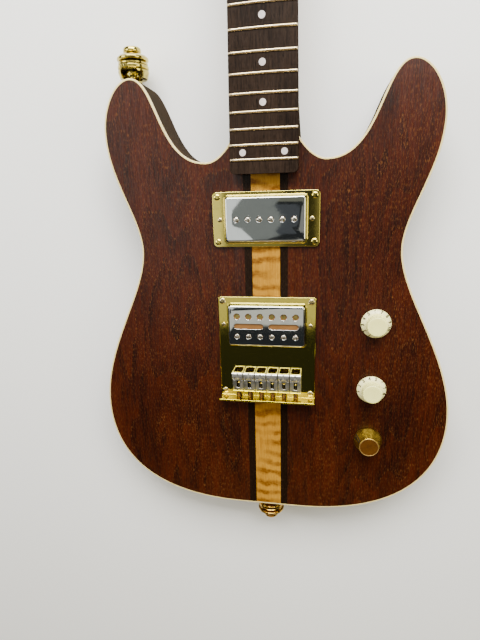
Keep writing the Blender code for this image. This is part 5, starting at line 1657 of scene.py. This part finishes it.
@dataclass
class PickupRing:
    """The flat ring round the neck pickup and its screws.

    Attributes:
        thickness: Thickness of the ring.
        corner: Radius of the ring's outer corners.
        clearance: Gap between the ring and the cover.
        lip_width: Width of the raised lip round the window.
        lip_height: Height of the lip.
        screw_x: Distance of the fixing screws from the centre line.
        screw_y: Distance of the fixing screws from the pickup's middle.
        height_screw_x: Distance of the height screws from the centre line.
    """

    thickness: float = 0.0022
    corner: float = 0.0035
    clearance: float = 0.0006
    lip_width: float = 0.0010
    lip_height: float = 0.0008
    screw_x: float = 0.0420
    screw_y: float = 0.0192
    height_screw_x: float = 0.0400

    def build(self) -> None:
        """Make the ring and its screws."""
        low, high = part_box("neck_pickup_ring")
        cover_low, cover_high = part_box("neck_pickup_cover")
        centre = ((low.x + high.x) / 2, (low.y + high.y) / 2)
        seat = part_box("body_wing_bass")[1].z + SEAT
        face = seat + self.thickness
        outer = ((high.x - low.x) / 2, (high.y - low.y) / 2, self.corner, centre)
        half_x, half_y = (cover_high.x - cover_low.x) / 2, (cover_high.y - cover_low.y) / 2
        window = (half_x + self.clearance, half_y + self.clearance, 0.0025, centre)
        ring = framed("neck_ring", outer, window, (self.lip_width, self.lip_height), (seat, face))
        ring = soften(ring, 0.0004, 3)
        dress(ring, Finish.GOLD, MAIN_BODY, "gold", "neck_pickup_ring")
        spots = [(x * self.screw_x, centre[1] + y * self.screw_y, face) for x in (-1, 1) for y in (-1, 1)]
        dress(ScrewHead(0.0027, 0.0012).row("neck_ring_screws", spots), Finish.GOLD, MAIN_BODY, "gold")
        spots = [(x * self.height_screw_x, centre[1], face) for x in (-1, 1)]
        screws = ScrewHead(0.0021, 0.0011, Drive.CROSS).row("neck_height_screws", spots)
        dress(screws, Finish.SCREW_GOLD, MAIN_BODY, "gold")


@dataclass
class Bridge:
    """The bridge plate with its flange, saddles and screws.

    Attributes:
        thickness: Thickness of the plate.
        corner: Radius of its corners.
        clearance: Gap between the plate and the pickup's cover.
        lip_width: Width of the raised lip round the window.
        lip_height: Height of the lip.
        saddle_pitch: Distance between saddles.
        saddle_width: Width of a saddle.
        crest: Height of a saddle's crest.
        deck: Height of its deck.
        slot_half: Half the width of its slot.
        screw_height: Height of the length screws over the plate.
        screw_radius: Radius of a length screw.
        spring_radius: Radius of a saddle's spring, to the middle of its wire.
        spring_wire: Radius of the wire.
        spring_turns: Turns of the spring.
    """

    thickness: float = 0.0016
    corner: float = 0.002
    clearance: float = 0.0006
    lip_width: float = 0.0010
    lip_height: float = 0.0008
    saddle_pitch: float = 0.0108
    saddle_width: float = 0.0100
    crest: float = 0.010
    deck: float = 0.006
    slot_half: float = 0.0016
    screw_height: float = 0.0031
    screw_radius: float = 0.0013
    spring_radius: float = 0.00185
    spring_wire: float = 0.00028
    spring_turns: int = 6

    def build(self) -> None:
        """Make the plate, the saddles and the screws."""
        self.low, self.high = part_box("bridge_plate")
        self.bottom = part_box("body_wing_bass")[1].z + SEAT
        self.face = self.bottom + self.thickness
        plate = dress(self.plate(), Finish.PLATE_GOLD, MAIN_BODY, "gold", "bridge_plate")
        # Painted reflection: the flange's inner face gets a deeper, more saturated gold than the rest of the plate.
        self.repaint(plate, Finish.FLANGE_GOLD, lambda face: face.normal.y > 0.5 and face.center.y < self.low.y + 0.002)
        screws = ScrewHead(0.0029, 0.0014)
        spots = [(x * 0.0405, y, self.face) for x in (-1, 1) for y in (0.0694, -0.0190)]
        dress(screws.row("bridge_plate_screws", spots), Finish.SCREW_GOLD, MAIN_BODY, "gold")
        low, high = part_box("bridge_pickup_cover")
        spots = [(x * 0.0400, (low.y + high.y) / 2, self.face) for x in (-1, 1)]
        dress(ScrewHead(0.0020, 0.0013).row("bridge_height_screws", spots), Finish.SCREW_GOLD, MAIN_BODY, "gold")
        pattern = self.saddle()
        for number in range(1, 7):
            low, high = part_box(f"saddle_{number}")
            x = (low.x + high.x) / 2
            saddle = moved(copied(pattern, f"string_saddle_{number}"), (x, 0, low.z))
            dress(saddle, Finish.SATIN_CHROME, f"saddle_{number}", "chrome", f"saddle_{number}")
            # Painted shade: the faces inside the saddle's hollow get the dark recess finish.
            self.repaint(saddle, Finish.SHADOWED, self.hollow(x, low.z))
            grubs = ScrewHead(0.00115, 0.0004, Drive.HEXAGON)
            spots = [(x - 0.0031, -0.0022, low.z + self.crest - 0.0012), (x + 0.0031, -0.0022, low.z + self.crest - 0.0012)]
            dress(grubs.row(f"saddle_height_screws_{number}", spots), Finish.STEEL, f"saddle_{number}", "steel")
        bpy.data.objects.remove(pattern, do_unlink=True)
        dress(self.length_screws(), Finish.SCREW_GOLD, MAIN_BODY, "gold")
        for number, x in enumerate(self.strings(), start=1):
            self.spring(number, x)

    def spring(self, number: int, x: float) -> None:
        """Make the spring between a saddle and the flange.

        Args:
            number: The saddle's number.
            x: Where its middle is.
        """
        height = self.face + self.screw_height
        start, end = self.low.y + self.thickness + 0.0001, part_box("saddle_1")[0].y - 0.0001
        steps = 14 * self.spring_turns
        rings = []
        for step in range(steps + 1):
            turn = 2 * math.pi * self.spring_turns * step / steps
            y = blend(start + self.spring_wire, end - self.spring_wire, step / steps)
            ring = []
            for side in range(6):
                angle = 2 * math.pi * side / 6
                radius = self.spring_radius + self.spring_wire * math.cos(angle)
                spot = (x + radius * math.cos(turn), y + self.spring_wire * math.sin(angle))
                ring.append((*spot, height + radius * math.sin(turn)))
            rings.append(ring)
        spring = smooth(loft(f"saddle_spring_{number}", rings), 60)
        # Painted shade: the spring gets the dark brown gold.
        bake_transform(paint(spring, Finish.AGED_GOLD))

    def strings(self) -> list[float]:
        """Return where the strings would cross."""
        return [(index - 2.5) * self.saddle_pitch for index in range(6)]

    def plate(self) -> Obj:
        """Make the plate with its window, lip, flange and the flange's screw holes."""
        low, high = self.low, self.high
        outer = (high.x, (high.y - low.y) / 2, self.corner, (0, (low.y + high.y) / 2))
        cover_low, cover_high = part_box("bridge_pickup_cover")
        centre = (0, (cover_low.y + cover_high.y) / 2)
        half_x, half_y = (cover_high.x - cover_low.x) / 2, (cover_high.y - cover_low.y) / 2
        window = (half_x + self.clearance, half_y + self.clearance, 0.0025, centre)
        lip = (self.lip_width, self.lip_height)
        plate = framed("bridge_base_plate", outer, window, lip, (self.bottom, self.face))
        rear = low.y + self.thickness
        flange = block("flange", (-high.x, low.y, self.bottom), (high.x, rear, high.z))
        carve(plate, [flange], Way.JOIN)
        holes = []
        for x in self.strings():
            hole = rod("screw_hole", self.screw_radius + 0.0003, -0.005, 0.005)
            holes.append(moved(hole, (x, low.y, self.face + self.screw_height), (90, 0, 0)))
        carve(plate, holes)
        return soften(plate, 0.0004, 3)

    def saddle(self) -> Obj:
        """Make one saddle, with its crest, string notch, slot and sockets."""
        low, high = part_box("saddle_1")
        rear, front = low.y, high.y
        profile = [(rear, 0.0), (front, 0.0), (front, 0.0082)]
        profile += arc((front - 0.0016, 0.0082), 0.0016, 0, 90, 5)[1:]
        profile += [(-0.0022, 0.0098), (-0.0036, 0.0090), (-0.0042, self.deck)]
        profile += [(rear + 0.0014, 0.95 * self.deck), (rear + 0.0005, 0.9 * self.deck), (rear, 0.75 * self.deck)]
        half = self.saddle_width / 2
        rings = [[(x, y, z) for y, z in profile] for x in (-half, half)]
        saddle = loft("saddle_pattern", rings)
        notch = block("notch", (-0.0006, -0.01, -0.0006), (0.0006, 0.01, 0.0006))
        moved(notch, (0, 0, 0), (0, 45, 0))
        moved(notch, (0, 0, self.crest - 0.0001))
        tools = [notch, block("slot", (-self.slot_half, rear + 0.0042, 0.0022), (self.slot_half, -0.0062, 0.02))]
        tools.append(block("tray", (-0.0041, rear + 0.0014, -0.001), (0.0041, front + 0.01, self.deck - 0.0011)))
        tools.append(block("arch", (-0.0036, -0.001, -0.001), (0.0036, front + 0.01, 0.0066)))
        tools += [moved(rod("socket", 0.0013, 0, 0.01, 24), (x, -0.0022, self.crest - 0.0022)) for x in (-0.0031, 0.0031)]
        tools.append(block("crest_groove", (-0.01, -0.0059, self.deck - 0.0005), (0.01, -0.0051, self.deck + 0.0004)))
        bore = rod("bore", self.screw_radius + 0.0004, -0.004, 0.003, 24)
        tools.append(moved(bore, (0, rear, self.screw_height), (90, 0, 0)))
        carve(saddle, tools)
        return soften(saddle, 0.00022, 2)

    def repaint(self, piece: Obj, finish: Finish, chosen: Callable[[bpy.types.MeshPolygon], bool]) -> None:
        """Give some of a piece's faces a second finish.

        Args:
            piece: The dressed piece.
            finish: The second finish.
            chosen: Tells whether a face gets it.
        """
        piece.data.materials.append(MATERIALS[finish])
        for face in piece.data.polygons:
            if chosen(face):
                face.material_index = 1

    def hollow(self, x: float, base: float) -> Callable[[bpy.types.MeshPolygon], bool]:
        """Return the test that finds the faces inside a saddle's hollow, which get painted shade.

        Args:
            x: Where the saddle's middle is.
            base: Height of its foot.

        Returns:
            A function of a face.
        """
        low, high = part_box("saddle_1")

        def inside(face: bpy.types.MeshPolygon) -> bool:
            """Tell whether a face is inside and doesn't look up."""
            spot = face.center
            along = low.y + 0.0013 < spot.y < high.y - 0.0004
            return along and abs(spot.x - x) < 0.00413 and spot.z - base < 0.00665 and face.normal.z < 0.3

        return inside

    def length_screws(self) -> Obj:
        """Make the six screws that hold the saddles to the flange."""
        shapes = []
        rear = self.low.y
        for index, x in enumerate(self.strings()):
            shank = threaded_rod(f"shank_{index}", self.screw_radius, 0.0, 0.0165, 0.0008)
            moved(shank, (x, rear - 0.0002, self.face + self.screw_height), (-90, 0, 0))
            shapes.append(shank)
        return fused("saddle_length_screws", [*shapes, self.screw_heads()])

    def screw_heads(self) -> Obj:
        """Make the heads of the length screws, behind the flange."""
        height = self.face + self.screw_height
        spots = [(x, self.low.y - 0.0001, height) for x in self.strings()]
        return ScrewHead(0.0026, 0.0018).row("length_screw_heads", spots, 19, (90, 0, 0))


# Controls


@dataclass
class Controls:
    """Knobs, cavity cover and the output jack.

    Attributes:
        skirt_radius: Radius of a dial's skirt.
        cap_radius: Radius of a dial's raised cap.
        flutes: Flutes round the cap.
        digit_size: Height of a digit on the skirt.
        digit_step: Angle between digits, in degrees.
        bell_radius: Radius of the bell knob at its foot.
        bell_top: Radius of its top.
        tick_angles: Where the bell's two ticks are, in degrees.
        tick_width: Width of a tick.
    """

    skirt_radius: float = 0.0130
    cap_radius: float = 0.0090
    flutes: int = 44
    digit_size: float = 0.0041
    digit_step: float = 29.0
    bell_radius: float = 0.0126
    bell_top: float = 0.0088
    tick_angles: tuple = (150.0, 162.0)
    tick_width: float = 0.0008

    def build(self) -> None:
        """Make the knobs, the cover and the jack."""
        self.dial("tone_knob", 22)
        self.dial("volume_knob", -32)
        self.bell()
        self.cover()
        self.jack()

    def foot(self, node: str) -> Vector:
        """Return where a knob stands on the body."""
        low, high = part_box(node)
        return Vector(((low.x + high.x) / 2, (low.y + high.y) / 2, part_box("body_wing_bass")[1].z))

    def stem(self, node: str) -> Outline:
        """Return the inside of a knob's profile: shaft, recess and rim."""
        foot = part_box(node)[0].z - self.foot(node).z
        return [(0, foot), (0.003, foot), (0.003, 0.0036), (0.0082, 0.0036), (0.0082, 0.0006)]

    def dial(self, node: str, turn: float) -> None:
        """Make a dial knob and its digits.

        Args:
            node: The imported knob.
            turn: How far its zero is turned, in degrees.
        """
        place = self.foot(node)
        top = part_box(node)[1].z - place.z
        skirt = [(self.skirt_radius - 0.0002, 0.0006), (self.skirt_radius, 0.0009), (self.skirt_radius, 0.0014)]
        skirt += [(self.skirt_radius - 0.0004, 0.0019), (self.cap_radius + 0.0012, 0.0034)]
        skirt += [(self.cap_radius + 0.0003, 0.0038)]
        base = lathe("skirt", [*self.stem(node), *skirt, (0, 0.0038)], 96)
        cap_profile = [(0, 0.0036), (self.cap_radius, 0.0036), (self.cap_radius, 0.0045)]
        cap_profile += [(0.965 * self.cap_radius, top - 0.0010)]
        cap = lathe("cap", cap_profile + [(0, top - 0.0010)], 6 * self.flutes, self.flutes, 0.025)
        crown = [(0, top - 0.0011), (0.955 * self.cap_radius, top - 0.0011)]
        crown += [(r, z) for r, z in arc((0.955 * self.cap_radius - 0.0010, top - 0.0010), 0.0010, 0, 90, 5)]
        crown = lathe("crown", [*crown, (0.6 * self.cap_radius, top - 0.00015), (0, top - 0.0003)], 96)
        word = node[:-5]
        cap = fused(f"{word}_cap", [smooth(cap, 40), smooth(crown, 40)])
        base.name = f"{word}_skirt"
        dress(moved(smooth(base, 25), place), Finish.SKIRT, node, "knob_cream", node)
        dress(moved(cap, place), Finish.DIAL, node, "knob_cream")
        dress(moved(self.digits(f"{word}_digits", turn), place), Finish.PRINT, node, "black_plastic")

    def digits(self, name: str, turn: float) -> Obj:
        """Make the digits 1 to 10 that lie on a dial's skirt.

        Args:
            name: The object's name.
            turn: How far the row is turned, in degrees.

        Returns:
            The digits, round the origin.
        """
        middle = (self.skirt_radius - 0.0004 + self.cap_radius + 0.0012) / 2
        height = (0.0019 + 0.0034) / 2
        slope = math.degrees(math.atan2(0.0034 - 0.0019, self.skirt_radius - self.cap_radius - 0.0016))
        shapes = []
        for number in range(1, 11):
            text = bpy.data.curves.new(f"digit_{number}", "FONT")
            text.body = str(number)
            text.size = self.digit_size
            text.extrude = 0.00003
            text.offset = 0.00016
            text.align_x, text.align_y = "CENTER", "CENTER"
            source = bpy.data.objects.new(text.name, text)
            bpy.context.scene.collection.objects.link(source)
            bpy.context.view_layer.update()
            graph = bpy.context.evaluated_depsgraph_get()
            mesh = bpy.data.meshes.new_from_object(source.evaluated_get(graph))
            bpy.data.objects.remove(source, do_unlink=True)
            digit = bpy.data.objects.new(f"{name}_{number}", mesh)
            bpy.context.scene.collection.objects.link(digit)
            angle = 90 + turn - self.digit_step * (number - 5.5)
            moved(digit, (0, middle, height + 0.00003), (-slope, 0, 0))
            shapes.append(moved(digit, (0, 0, 0), (0, 0, angle - 90)))
        return fused(name, shapes)

    def bell(self) -> None:
        """Make the gold bell knob, its amber top and its two ticks."""
        node = "blend_knob"
        place = self.foot(node)
        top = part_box(node)[1].z - place.z
        outside = [(self.bell_radius, 0.0006)]
        outside += self.bell_slope(top, 24)
        outside += [(self.bell_top, top - 0.0005), (0, top - 0.0005)]
        knob = smooth(lathe("blend_bell", [*self.stem(node), *outside], 96), 40)
        dress(moved(knob, place), Finish.BELL_GOLD, node, "gold", node)
        r, level = self.bell_top, place + Vector((0, 0, top - 0.0005))
        disc = lathe("blend_disc", [(0, -0.0002), (r - 0.0007, -0.0002), (r - 0.0007, 0.0001), (0, 0.0002)], 64)
        dress(smooth(moved(disc, level)), Finish.BELL_TOP, node, "gold")
        lip = [(r - 0.0008, -0.0002), (r, -0.0002), *arc((r - 0.0004, 0.0001), 0.0004, 0, 180, 8)]
        dress(moved(smooth(lathe("blend_rim", lip, 96), 60), level), Finish.RIM_GOLD, node, "gold")
        ticks = []
        for angle in self.tick_angles:
            rings = []
            for radius, height in self.bell_slope(top, 24)[2:-4]:
                low, high, half = radius - 0.0005, radius + 0.00015, self.tick_width / 2
                rings.append([(low, -half, height), (high, -half, height), (high, half, height), (low, half, height)])
            ticks.append(moved(loft("tick", rings), (0, 0, 0), (0, 0, angle)))
        dress(moved(fused("blend_ticks", ticks), place), Finish.PRINT, node, "black_plastic")

    def bell_slope(self, top: float, steps: int) -> Outline:
        """Return the bell's outer slope.

        Args:
            top: Height of the bell.
            steps: Stretches between its foot and its shoulder.

        Returns:
            Pairs of radius and height, from the foot up.
        """
        foot, shoulder = 0.0022, top - 0.0007
        shares = [step / steps for step in range(steps + 1)]
        return [(blend(self.bell_radius, self.bell_top + 0.0002, smoothstep(share) ** 0.9),
                 blend(foot, shoulder, share)) for share in shares]

    def cover(self) -> None:
        """Make the cavity cover and its six screws."""
        low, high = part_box("control_cover")
        centre = ((low.x + high.x) / 2, (low.y + high.y) / 2)
        outline = rounded((high.x - low.x) / 2, (high.y - low.y) / 2, 0.0004, centre)
        plate = loft("cavity_cover", [lifted(outline, low.z), lifted(outline, high.z)])
        spots = [(x, y) for x in (low.x + 0.0035, high.x - 0.0035) for y in (low.y + 0.0035, centre[1], high.y - 0.0035)]
        sinks = [moved(lathe("sink", [(0, 0.0012), (0.0016, 0.0012), (0.0032, -0.0004), (0, -0.0004)], 32), (x, y, 0))
                 for x, y in spots]
        plate = soften(carve(plate, sinks), 0.0002, 2)
        dress(plate, Finish.BLACK, MAIN_BODY, "black_plastic", "control_cover")
        places = [(x, y, 0.0014) for x, y in spots]
        screws = ScrewHead(0.0022, 0.0010, Drive.CROSS, 0.0002).row("cover_screws", places, 29, (180, 0, 0))
        dress(screws, Finish.STEEL, MAIN_BODY, "steel")

    def jack(self) -> None:
        """Make the jack's cup, nut and socket in the treble side."""
        low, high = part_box("jack_cup")
        centre = (0, (low.y + high.y) / 2, (low.z + high.z) / 2)
        flange = high.x - 0.0012
        lip = arc((0.0117, 0.0004), 0.0008, 0, 90, 4)
        cup = [(0.005, -0.011), (0.009, -0.011), (0.009, 0), (0.0125, 0), *lip, (0.0086, 0.0012), (0.0080, 0.0006)]
        cup += [(0.0080, -0.0100), (0.005, -0.0100)]
        piece = moved(smooth(lathe("jack_ferrule", cup, 64), 30), (flange, *centre[1:]), (0, 90, 0))
        dress(piece, Finish.GOLD, MAIN_BODY, "gold", "jack_cup")
        body_low, body_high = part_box("output_jack")
        seat = body_high.x - 0.002
        nut = soften(lathe("jack_hexagon", [(0.0034, 0), (0.0066, 0), (0.0066, 0.002), (0.0034, 0.002)], 6), 0.0003, 2)
        nut = moved(nut, (seat, *centre[1:]), (0, 90, 0))
        length = seat - body_low.x
        sleeve = [(0, -length), (0.0065, -length), (0.0065, -length + 0.0207), (0.0047, -length + 0.0207), (0.0047, 0.0016)]
        sleeve += [(0.0036, 0.0019), (0.0034, 0.0016), (0.0034, -0.0193), (0, -0.0193)]
        sleeve = moved(smooth(lathe("jack_sleeve", sleeve, 40), 30), (seat, *centre[1:]), (0, 90, 0))
        dress(fused("jack_socket", [nut, sleeve]), Finish.NICKEL, MAIN_BODY, "steel", "output_jack")


# Strap locks


@dataclass
class StrapLocks:
    """A strap button with its quick-release lock at the horn and at the tail.

    Attributes:
        button_radius: Radius of the button.
        button_height: Height of the button.
        housing_radius: Radius of the lock's housing.
        mouth_radius: Radius of its narrow end.
        washer_radius: Radius of the washer over the housing.
        collar_radius: Radius of the collar nut.
        stem_radius: Radius of the stem.
        knob_radius: Radius of the pin's knob.
        neck_radius: Radius of the knob's neck.
    """

    button_radius: float = 0.007
    button_height: float = 0.0095
    housing_radius: float = 0.0135
    mouth_radius: float = 0.0115
    washer_radius: float = 0.0129
    collar_radius: float = 0.0137
    stem_radius: float = 0.0055
    knob_radius: float = 0.00775
    neck_radius: float = 0.0056

    def build(self) -> None:
        """Make both sets."""
        for where, turn in (("horn", (-90, 180, 0)), ("tail", (90, 0, 0))):
            low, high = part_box(f"strap_button_{where}")
            seat = low.y if where == "horn" else high.y
            place = ((low.x + high.x) / 2, seat, (low.z + high.z) / 2)
            # Painted reflection: the tail lock gets an amber copy of the horn lock's gold.
            finish = Finish.LOCK_GOLD if where == "horn" else Finish.TAIL_GOLD
            parts = (("button", self.button(), MAIN_BODY), ("lock", self.lock(), None), ("pin", self.pin(), None))
            for word, shape, body in parts:
                shape.name = f"{where}_strap_{word}"
                node = f"strap_{word}_{where}"
                dress(moved(shape, place, turn), finish, body or node, "gold", node)

    def button(self) -> Obj:
        """Make a waisted button with a bore for the pin."""
        r, h = self.button_radius, self.button_height
        profile = [(0, 0), (r - 0.0004, 0), (r, 0.0004), (r, 0.0014), (r - 0.0008, 0.0019)]
        profile += [(blend(r - 0.0014, 0.0042, math.sin(math.pi * s / 10)), blend(0.0024, 0.0068, s / 10)) for s in range(11)]
        profile += [(r - 0.0006, 0.0071), (r, 0.0076), (r, h - 0.0004), (r - 0.0004, h), (0.0018, h)]
        return smooth(lathe("button", [*profile, (0.0018, h - 0.0053), (0, h - 0.0053)], 48), 40)

    def lock(self) -> Obj:
        """Make the lock: a housing open to one side, a washer and a collar nut on a stem."""
        inside, ceiling, roof = self.button_radius + 0.0005, self.button_height + 0.0003, 0.0143
        r = self.housing_radius
        housing = [(inside, 0.0035), (self.mouth_radius, 0.0035), (self.mouth_radius + 0.0006, 0.0042)]
        housing += [(r - 0.0004, 0.0076), (r, 0.0084), (r, 0.0098), (r - 0.0010, 0.0102), (r - 0.0010, 0.0108)]
        housing += [(r, 0.0112), (r, roof - 0.0008), (r - 0.0008, roof)]
        housing += [(0.0018, roof), (0.0018, ceiling), (inside, ceiling)]
        shell = lathe("housing", housing, 96)
        mouth = block("mouth", (-inside, 0, 0.0017), (inside, 0.03, ceiling))
        tools = [mouth]
        for angle in (23, 9):
            hole = rod("set_screw_hole", 0.0009, 0, 0.02, 24)
            tools.append(moved(hole, (0, 0, 0.0125), (90, 0, 180 - angle)))
        carve(shell, tools)
        shell = soften(shell, 0.0003, 2)
        stem = rod("stem", self.stem_radius, roof - 0.0005, 0.0228, 40)
        bore = [moved(rod("stem_bore", 0.0018, 0.01, 0.03), (0, 0, 0))]
        carve(stem, bore)
        washer = [(self.stem_radius, roof + 0.0003), (self.washer_radius - 0.0003, roof + 0.0003)]
        washer += [(self.washer_radius, roof + 0.0006), (self.washer_radius, roof + 0.0015)]
        washer += [(self.washer_radius - 0.0005, roof + 0.0020)]
        washer = smooth(lathe("washer", [*washer, (self.stem_radius, roof + 0.0023)], 72), 40)
        base, c = roof + 0.0032, self.collar_radius
        collar = [(self.stem_radius, base), (c - 0.0012, base)]
        collar += arc((c - 0.0007, base + 0.0012), 0.0007, -60, 0, 4)
        collar += arc((c - 0.0007, base + 0.0022), 0.0007, 0, 60, 4)
        collar += [(c - 0.0016, 0.0216), (c - 0.0036, 0.0222), (self.stem_radius, 0.0222)]
        collar = smooth(lathe("collar", collar, 96), 40)
        return fused("lock", [shell, smooth(stem), washer, collar])

    def pin(self) -> Obj:
        """Make the pull pin and its mushroom knob."""
        foot, seat = self.button_height - 0.005, 0.0231
        profile = [(0, foot), (0.0011, foot), (0.0015, foot + 0.0004), (0.0015, seat), (self.neck_radius, seat)]
        profile += [(self.neck_radius, seat + 0.0006), (self.neck_radius - 0.0004, seat + 0.0012)]
        r, knob, top = self.knob_radius, seat + 0.0016, seat + 0.006
        shank = smooth(lathe("shank", [*profile, (0, knob)], 40), 40)
        rim = [(0, knob - 0.0002), *arc((r - 0.0007, knob + 0.0007), 0.0007, -90, 0, 5), (r, top - 0.0018)]
        rim += [(r - 0.0004, top - 0.0010), (r - 0.0012, top - 0.0004), (r - 0.0026, top), (0, top)]
        return fused("pin", [shank, smooth(lathe("mushroom", rim, 72), 40)])


def dress_inner_parts() -> None:
    """Finish the solids inside the guitar, which stay as they are."""
    for node, finish in (
        ("truss_rod", Finish.STEEL),
        ("tone_pot", Finish.STEEL),
        ("volume_pot", Finish.STEEL),
        ("blend_pot", Finish.STEEL),
        ("tone_capacitor", Finish.ORANGE),
        ("wiring_loom", Finish.BLACK),
    ):
        dress_solid(node, finish)
    nut = copied(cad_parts["truss_rod_nut"], "rod_hexagon")
    dress(soften(nut, 0.0003, 2), Finish.STEEL, "truss_rod_nut", "steel", "truss_rod_nut")


# Camera and studio


@dataclass(frozen=True)
class PhotoCamera:
    """The photograph's camera, fitted to its frets and hardware.

    Attributes:
        focal_px: Focal length in the photograph's pixels.
        height_px: Height of the photograph in pixels.
        sensor: Sensor size along the photograph's long side, in millimetres.
        place: Where it stands.
        turn: How it is turned round X, Y and Z, in degrees.
    """

    focal_px: float = 449.1
    height_px: int = 640
    sensor: float = 36.0
    place: Point = (0.0483, 0.1598, 0.4407)
    turn: Point = (-15.378, 10.077, -1.516)

    def build(self) -> None:
        """Make the camera the scene's own."""
        lens = bpy.data.cameras.new("photo_camera")
        lens.sensor_width = self.sensor
        lens.lens = self.sensor * self.focal_px / self.height_px
        lens.clip_start, lens.clip_end = 0.01, 50.0
        camera = bpy.data.objects.new("photo_camera", lens)
        camera.location = self.place
        camera.rotation_euler = [math.radians(angle) for angle in self.turn]
        bpy.context.scene.collection.objects.link(camera)
        bpy.context.scene.camera = camera


@dataclass(frozen=True)
class Softbox:
    """A soft light.

    Attributes:
        name: The light's name.
        place: Where it hangs.
        target: What it points at.
        size: Its width and length.
        radiance: How bright its face is.
        tint: Its colour.
    """

    name: str
    place: Point
    target: Point
    size: tuple
    radiance: float
    tint: Colour = (1.0, 1.0, 1.0)

    def build(self) -> None:
        """Hang the light."""
        lamp = bpy.data.lights.new(self.name, "AREA")
        lamp.shape = "RECTANGLE"
        lamp.size, lamp.size_y = self.size
        lamp.energy = math.pi * self.radiance * self.size[0] * self.size[1]
        lamp.color = self.tint
        light = bpy.data.objects.new(self.name, lamp)
        light.location = self.place
        aim = Vector(self.target) - Vector(self.place)
        light.rotation_euler = aim.to_track_quat("-Z", "Y").to_euler()
        bpy.context.scene.collection.objects.link(light)


@dataclass
class Studio:
    """Pale floor, soft lights and a dim surround.

    Attributes:
        floor_half: Half the width of the floor.
        floor_colour: Colour of the floor.
        surround: Colour of the surround.
        lights: The soft lights: keys low at the sides, and dim panels overhead.
    """

    floor_half: float = 6.0
    floor_colour: Colour = (0.95, 0.95, 0.95)
    surround: Colour = (0.022, 0.024, 0.024)
    lights: tuple = (
        Softbox("left_key", (-1.9, 0.5, 1.5), (0, 0.1, 0), (1.2, 1.2), 5.0, (1.0, 0.97, 0.90)),
        Softbox("right_key", (1.9, 0.3, 1.4), (0, 0.1, 0), (1.2, 1.2), 4.6, (1.0, 0.95, 0.68)),
        Softbox("head_key", (0.12, 1.12, 0.86), (0, 0.05, 0), (1.4, 0.62), 21.0, (1.0, 0.985, 0.93)),
        Softbox("tail_strip", (-0.25, -0.41, 2.0), (-0.25, -0.41, 0), (1.3, 0.20), 0.64, (1.0, 0.97, 0.80)),
        Softbox("left_panel", (-0.72, 0.2, 2.0), (-0.72, 0.2, 0), (0.52, 0.9), 0.95, (0.97, 1.0, 0.93)),
        Softbox("ceiling_left", (-0.30, 0.35, 2.0), (-0.30, 0.35, 0), (0.30, 1.1), 0.20, (0.95, 1.0, 0.90)),
        Softbox("ceiling_near", (-0.09, 0.05, 2.0), (-0.09, 0.05, 0), (0.12, 0.5), 0.055, (0.86, 0.92, 1.0)),
        Softbox("ceiling_far", (-1.45, 0.35, 2.0), (-1.45, 0.35, 0), (0.9, 1.1), 0.35, (0.95, 1.0, 0.93)),
        Softbox("ceiling_middle", (0.17, 0.1, 2.0), (0.17, 0.1, 0), (0.30, 0.4), 0.22, (1.0, 0.98, 0.88)),
        Softbox("ceiling_head", (0.2, 0.55, 2.0), (0.2, 0.55, 0), (0.71, 0.4), 0.14, (1.0, 0.98, 0.70)),
        Softbox("ceiling_right", (1.2, 0.35, 2.0), (1.2, 0.35, 0), (1.2, 1.1), 0.07, (1.0, 0.98, 0.70)),
        Softbox("tail_panel", (0.0, -1.5, 0.7), (0, -0.2, 0), (1.6, 0.8), 0.9, (1.0, 0.72, 0.30)),
        Softbox("head_panel", (0.0, 1.45, 2.0), (0.0, 1.45, 0), (2.4, 1.3), 1.6, (1.0, 0.98, 0.92)),
    )

    def build(self) -> None:
        """Make the floor, the lights and the surround."""
        edge = self.floor_half
        floor = solid("floor", [(-edge, -edge, 0), (edge, -edge, 0), (edge, edge, 0), (-edge, edge, 0)], [[0, 1, 2, 3]])
        made, graph, shader = new_material("pale_floor")
        place = graph.node("ShaderNodeTexCoord").outputs["Object"]
        tone = graph.noise(place, 3.0, 2.0, 0.5)
        light = opaque(self.floor_colour)
        shade = opaque(tuple(0.97 * value for value in self.floor_colour))
        fill(graph, shader, {"Base Color": graph.mix(tone, shade, light), "Roughness": 0.9})
        floor.data.materials.append(made)
        for softbox in self.lights:
            softbox.build()
        world = bpy.data.worlds.new("surround")
        world.use_nodes = True
        world.node_tree.nodes["Background"].inputs["Color"].default_value = opaque(self.surround)
        bpy.context.scene.world = world


def main() -> None:
    """Build the camera, the studio and every sub-assembly."""
    logging.basicConfig(level=logging.INFO, format="%(name)s: %(message)s")
    PhotoCamera().build()
    Studio().build()
    Body().build()
    ThroughNeck().build()
    Fretboard().build()
    Tuners().build()
    Pickup("neck", 0.0, 0.010).build()
    PickupRing().build()
    Pickup("bridge", -0.010, 0.0107, windows=True).build()
    Bridge().build()
    Controls().build()
    StrapLocks().build()
    dress_inner_parts()


if __name__ == "__main__":
    main()
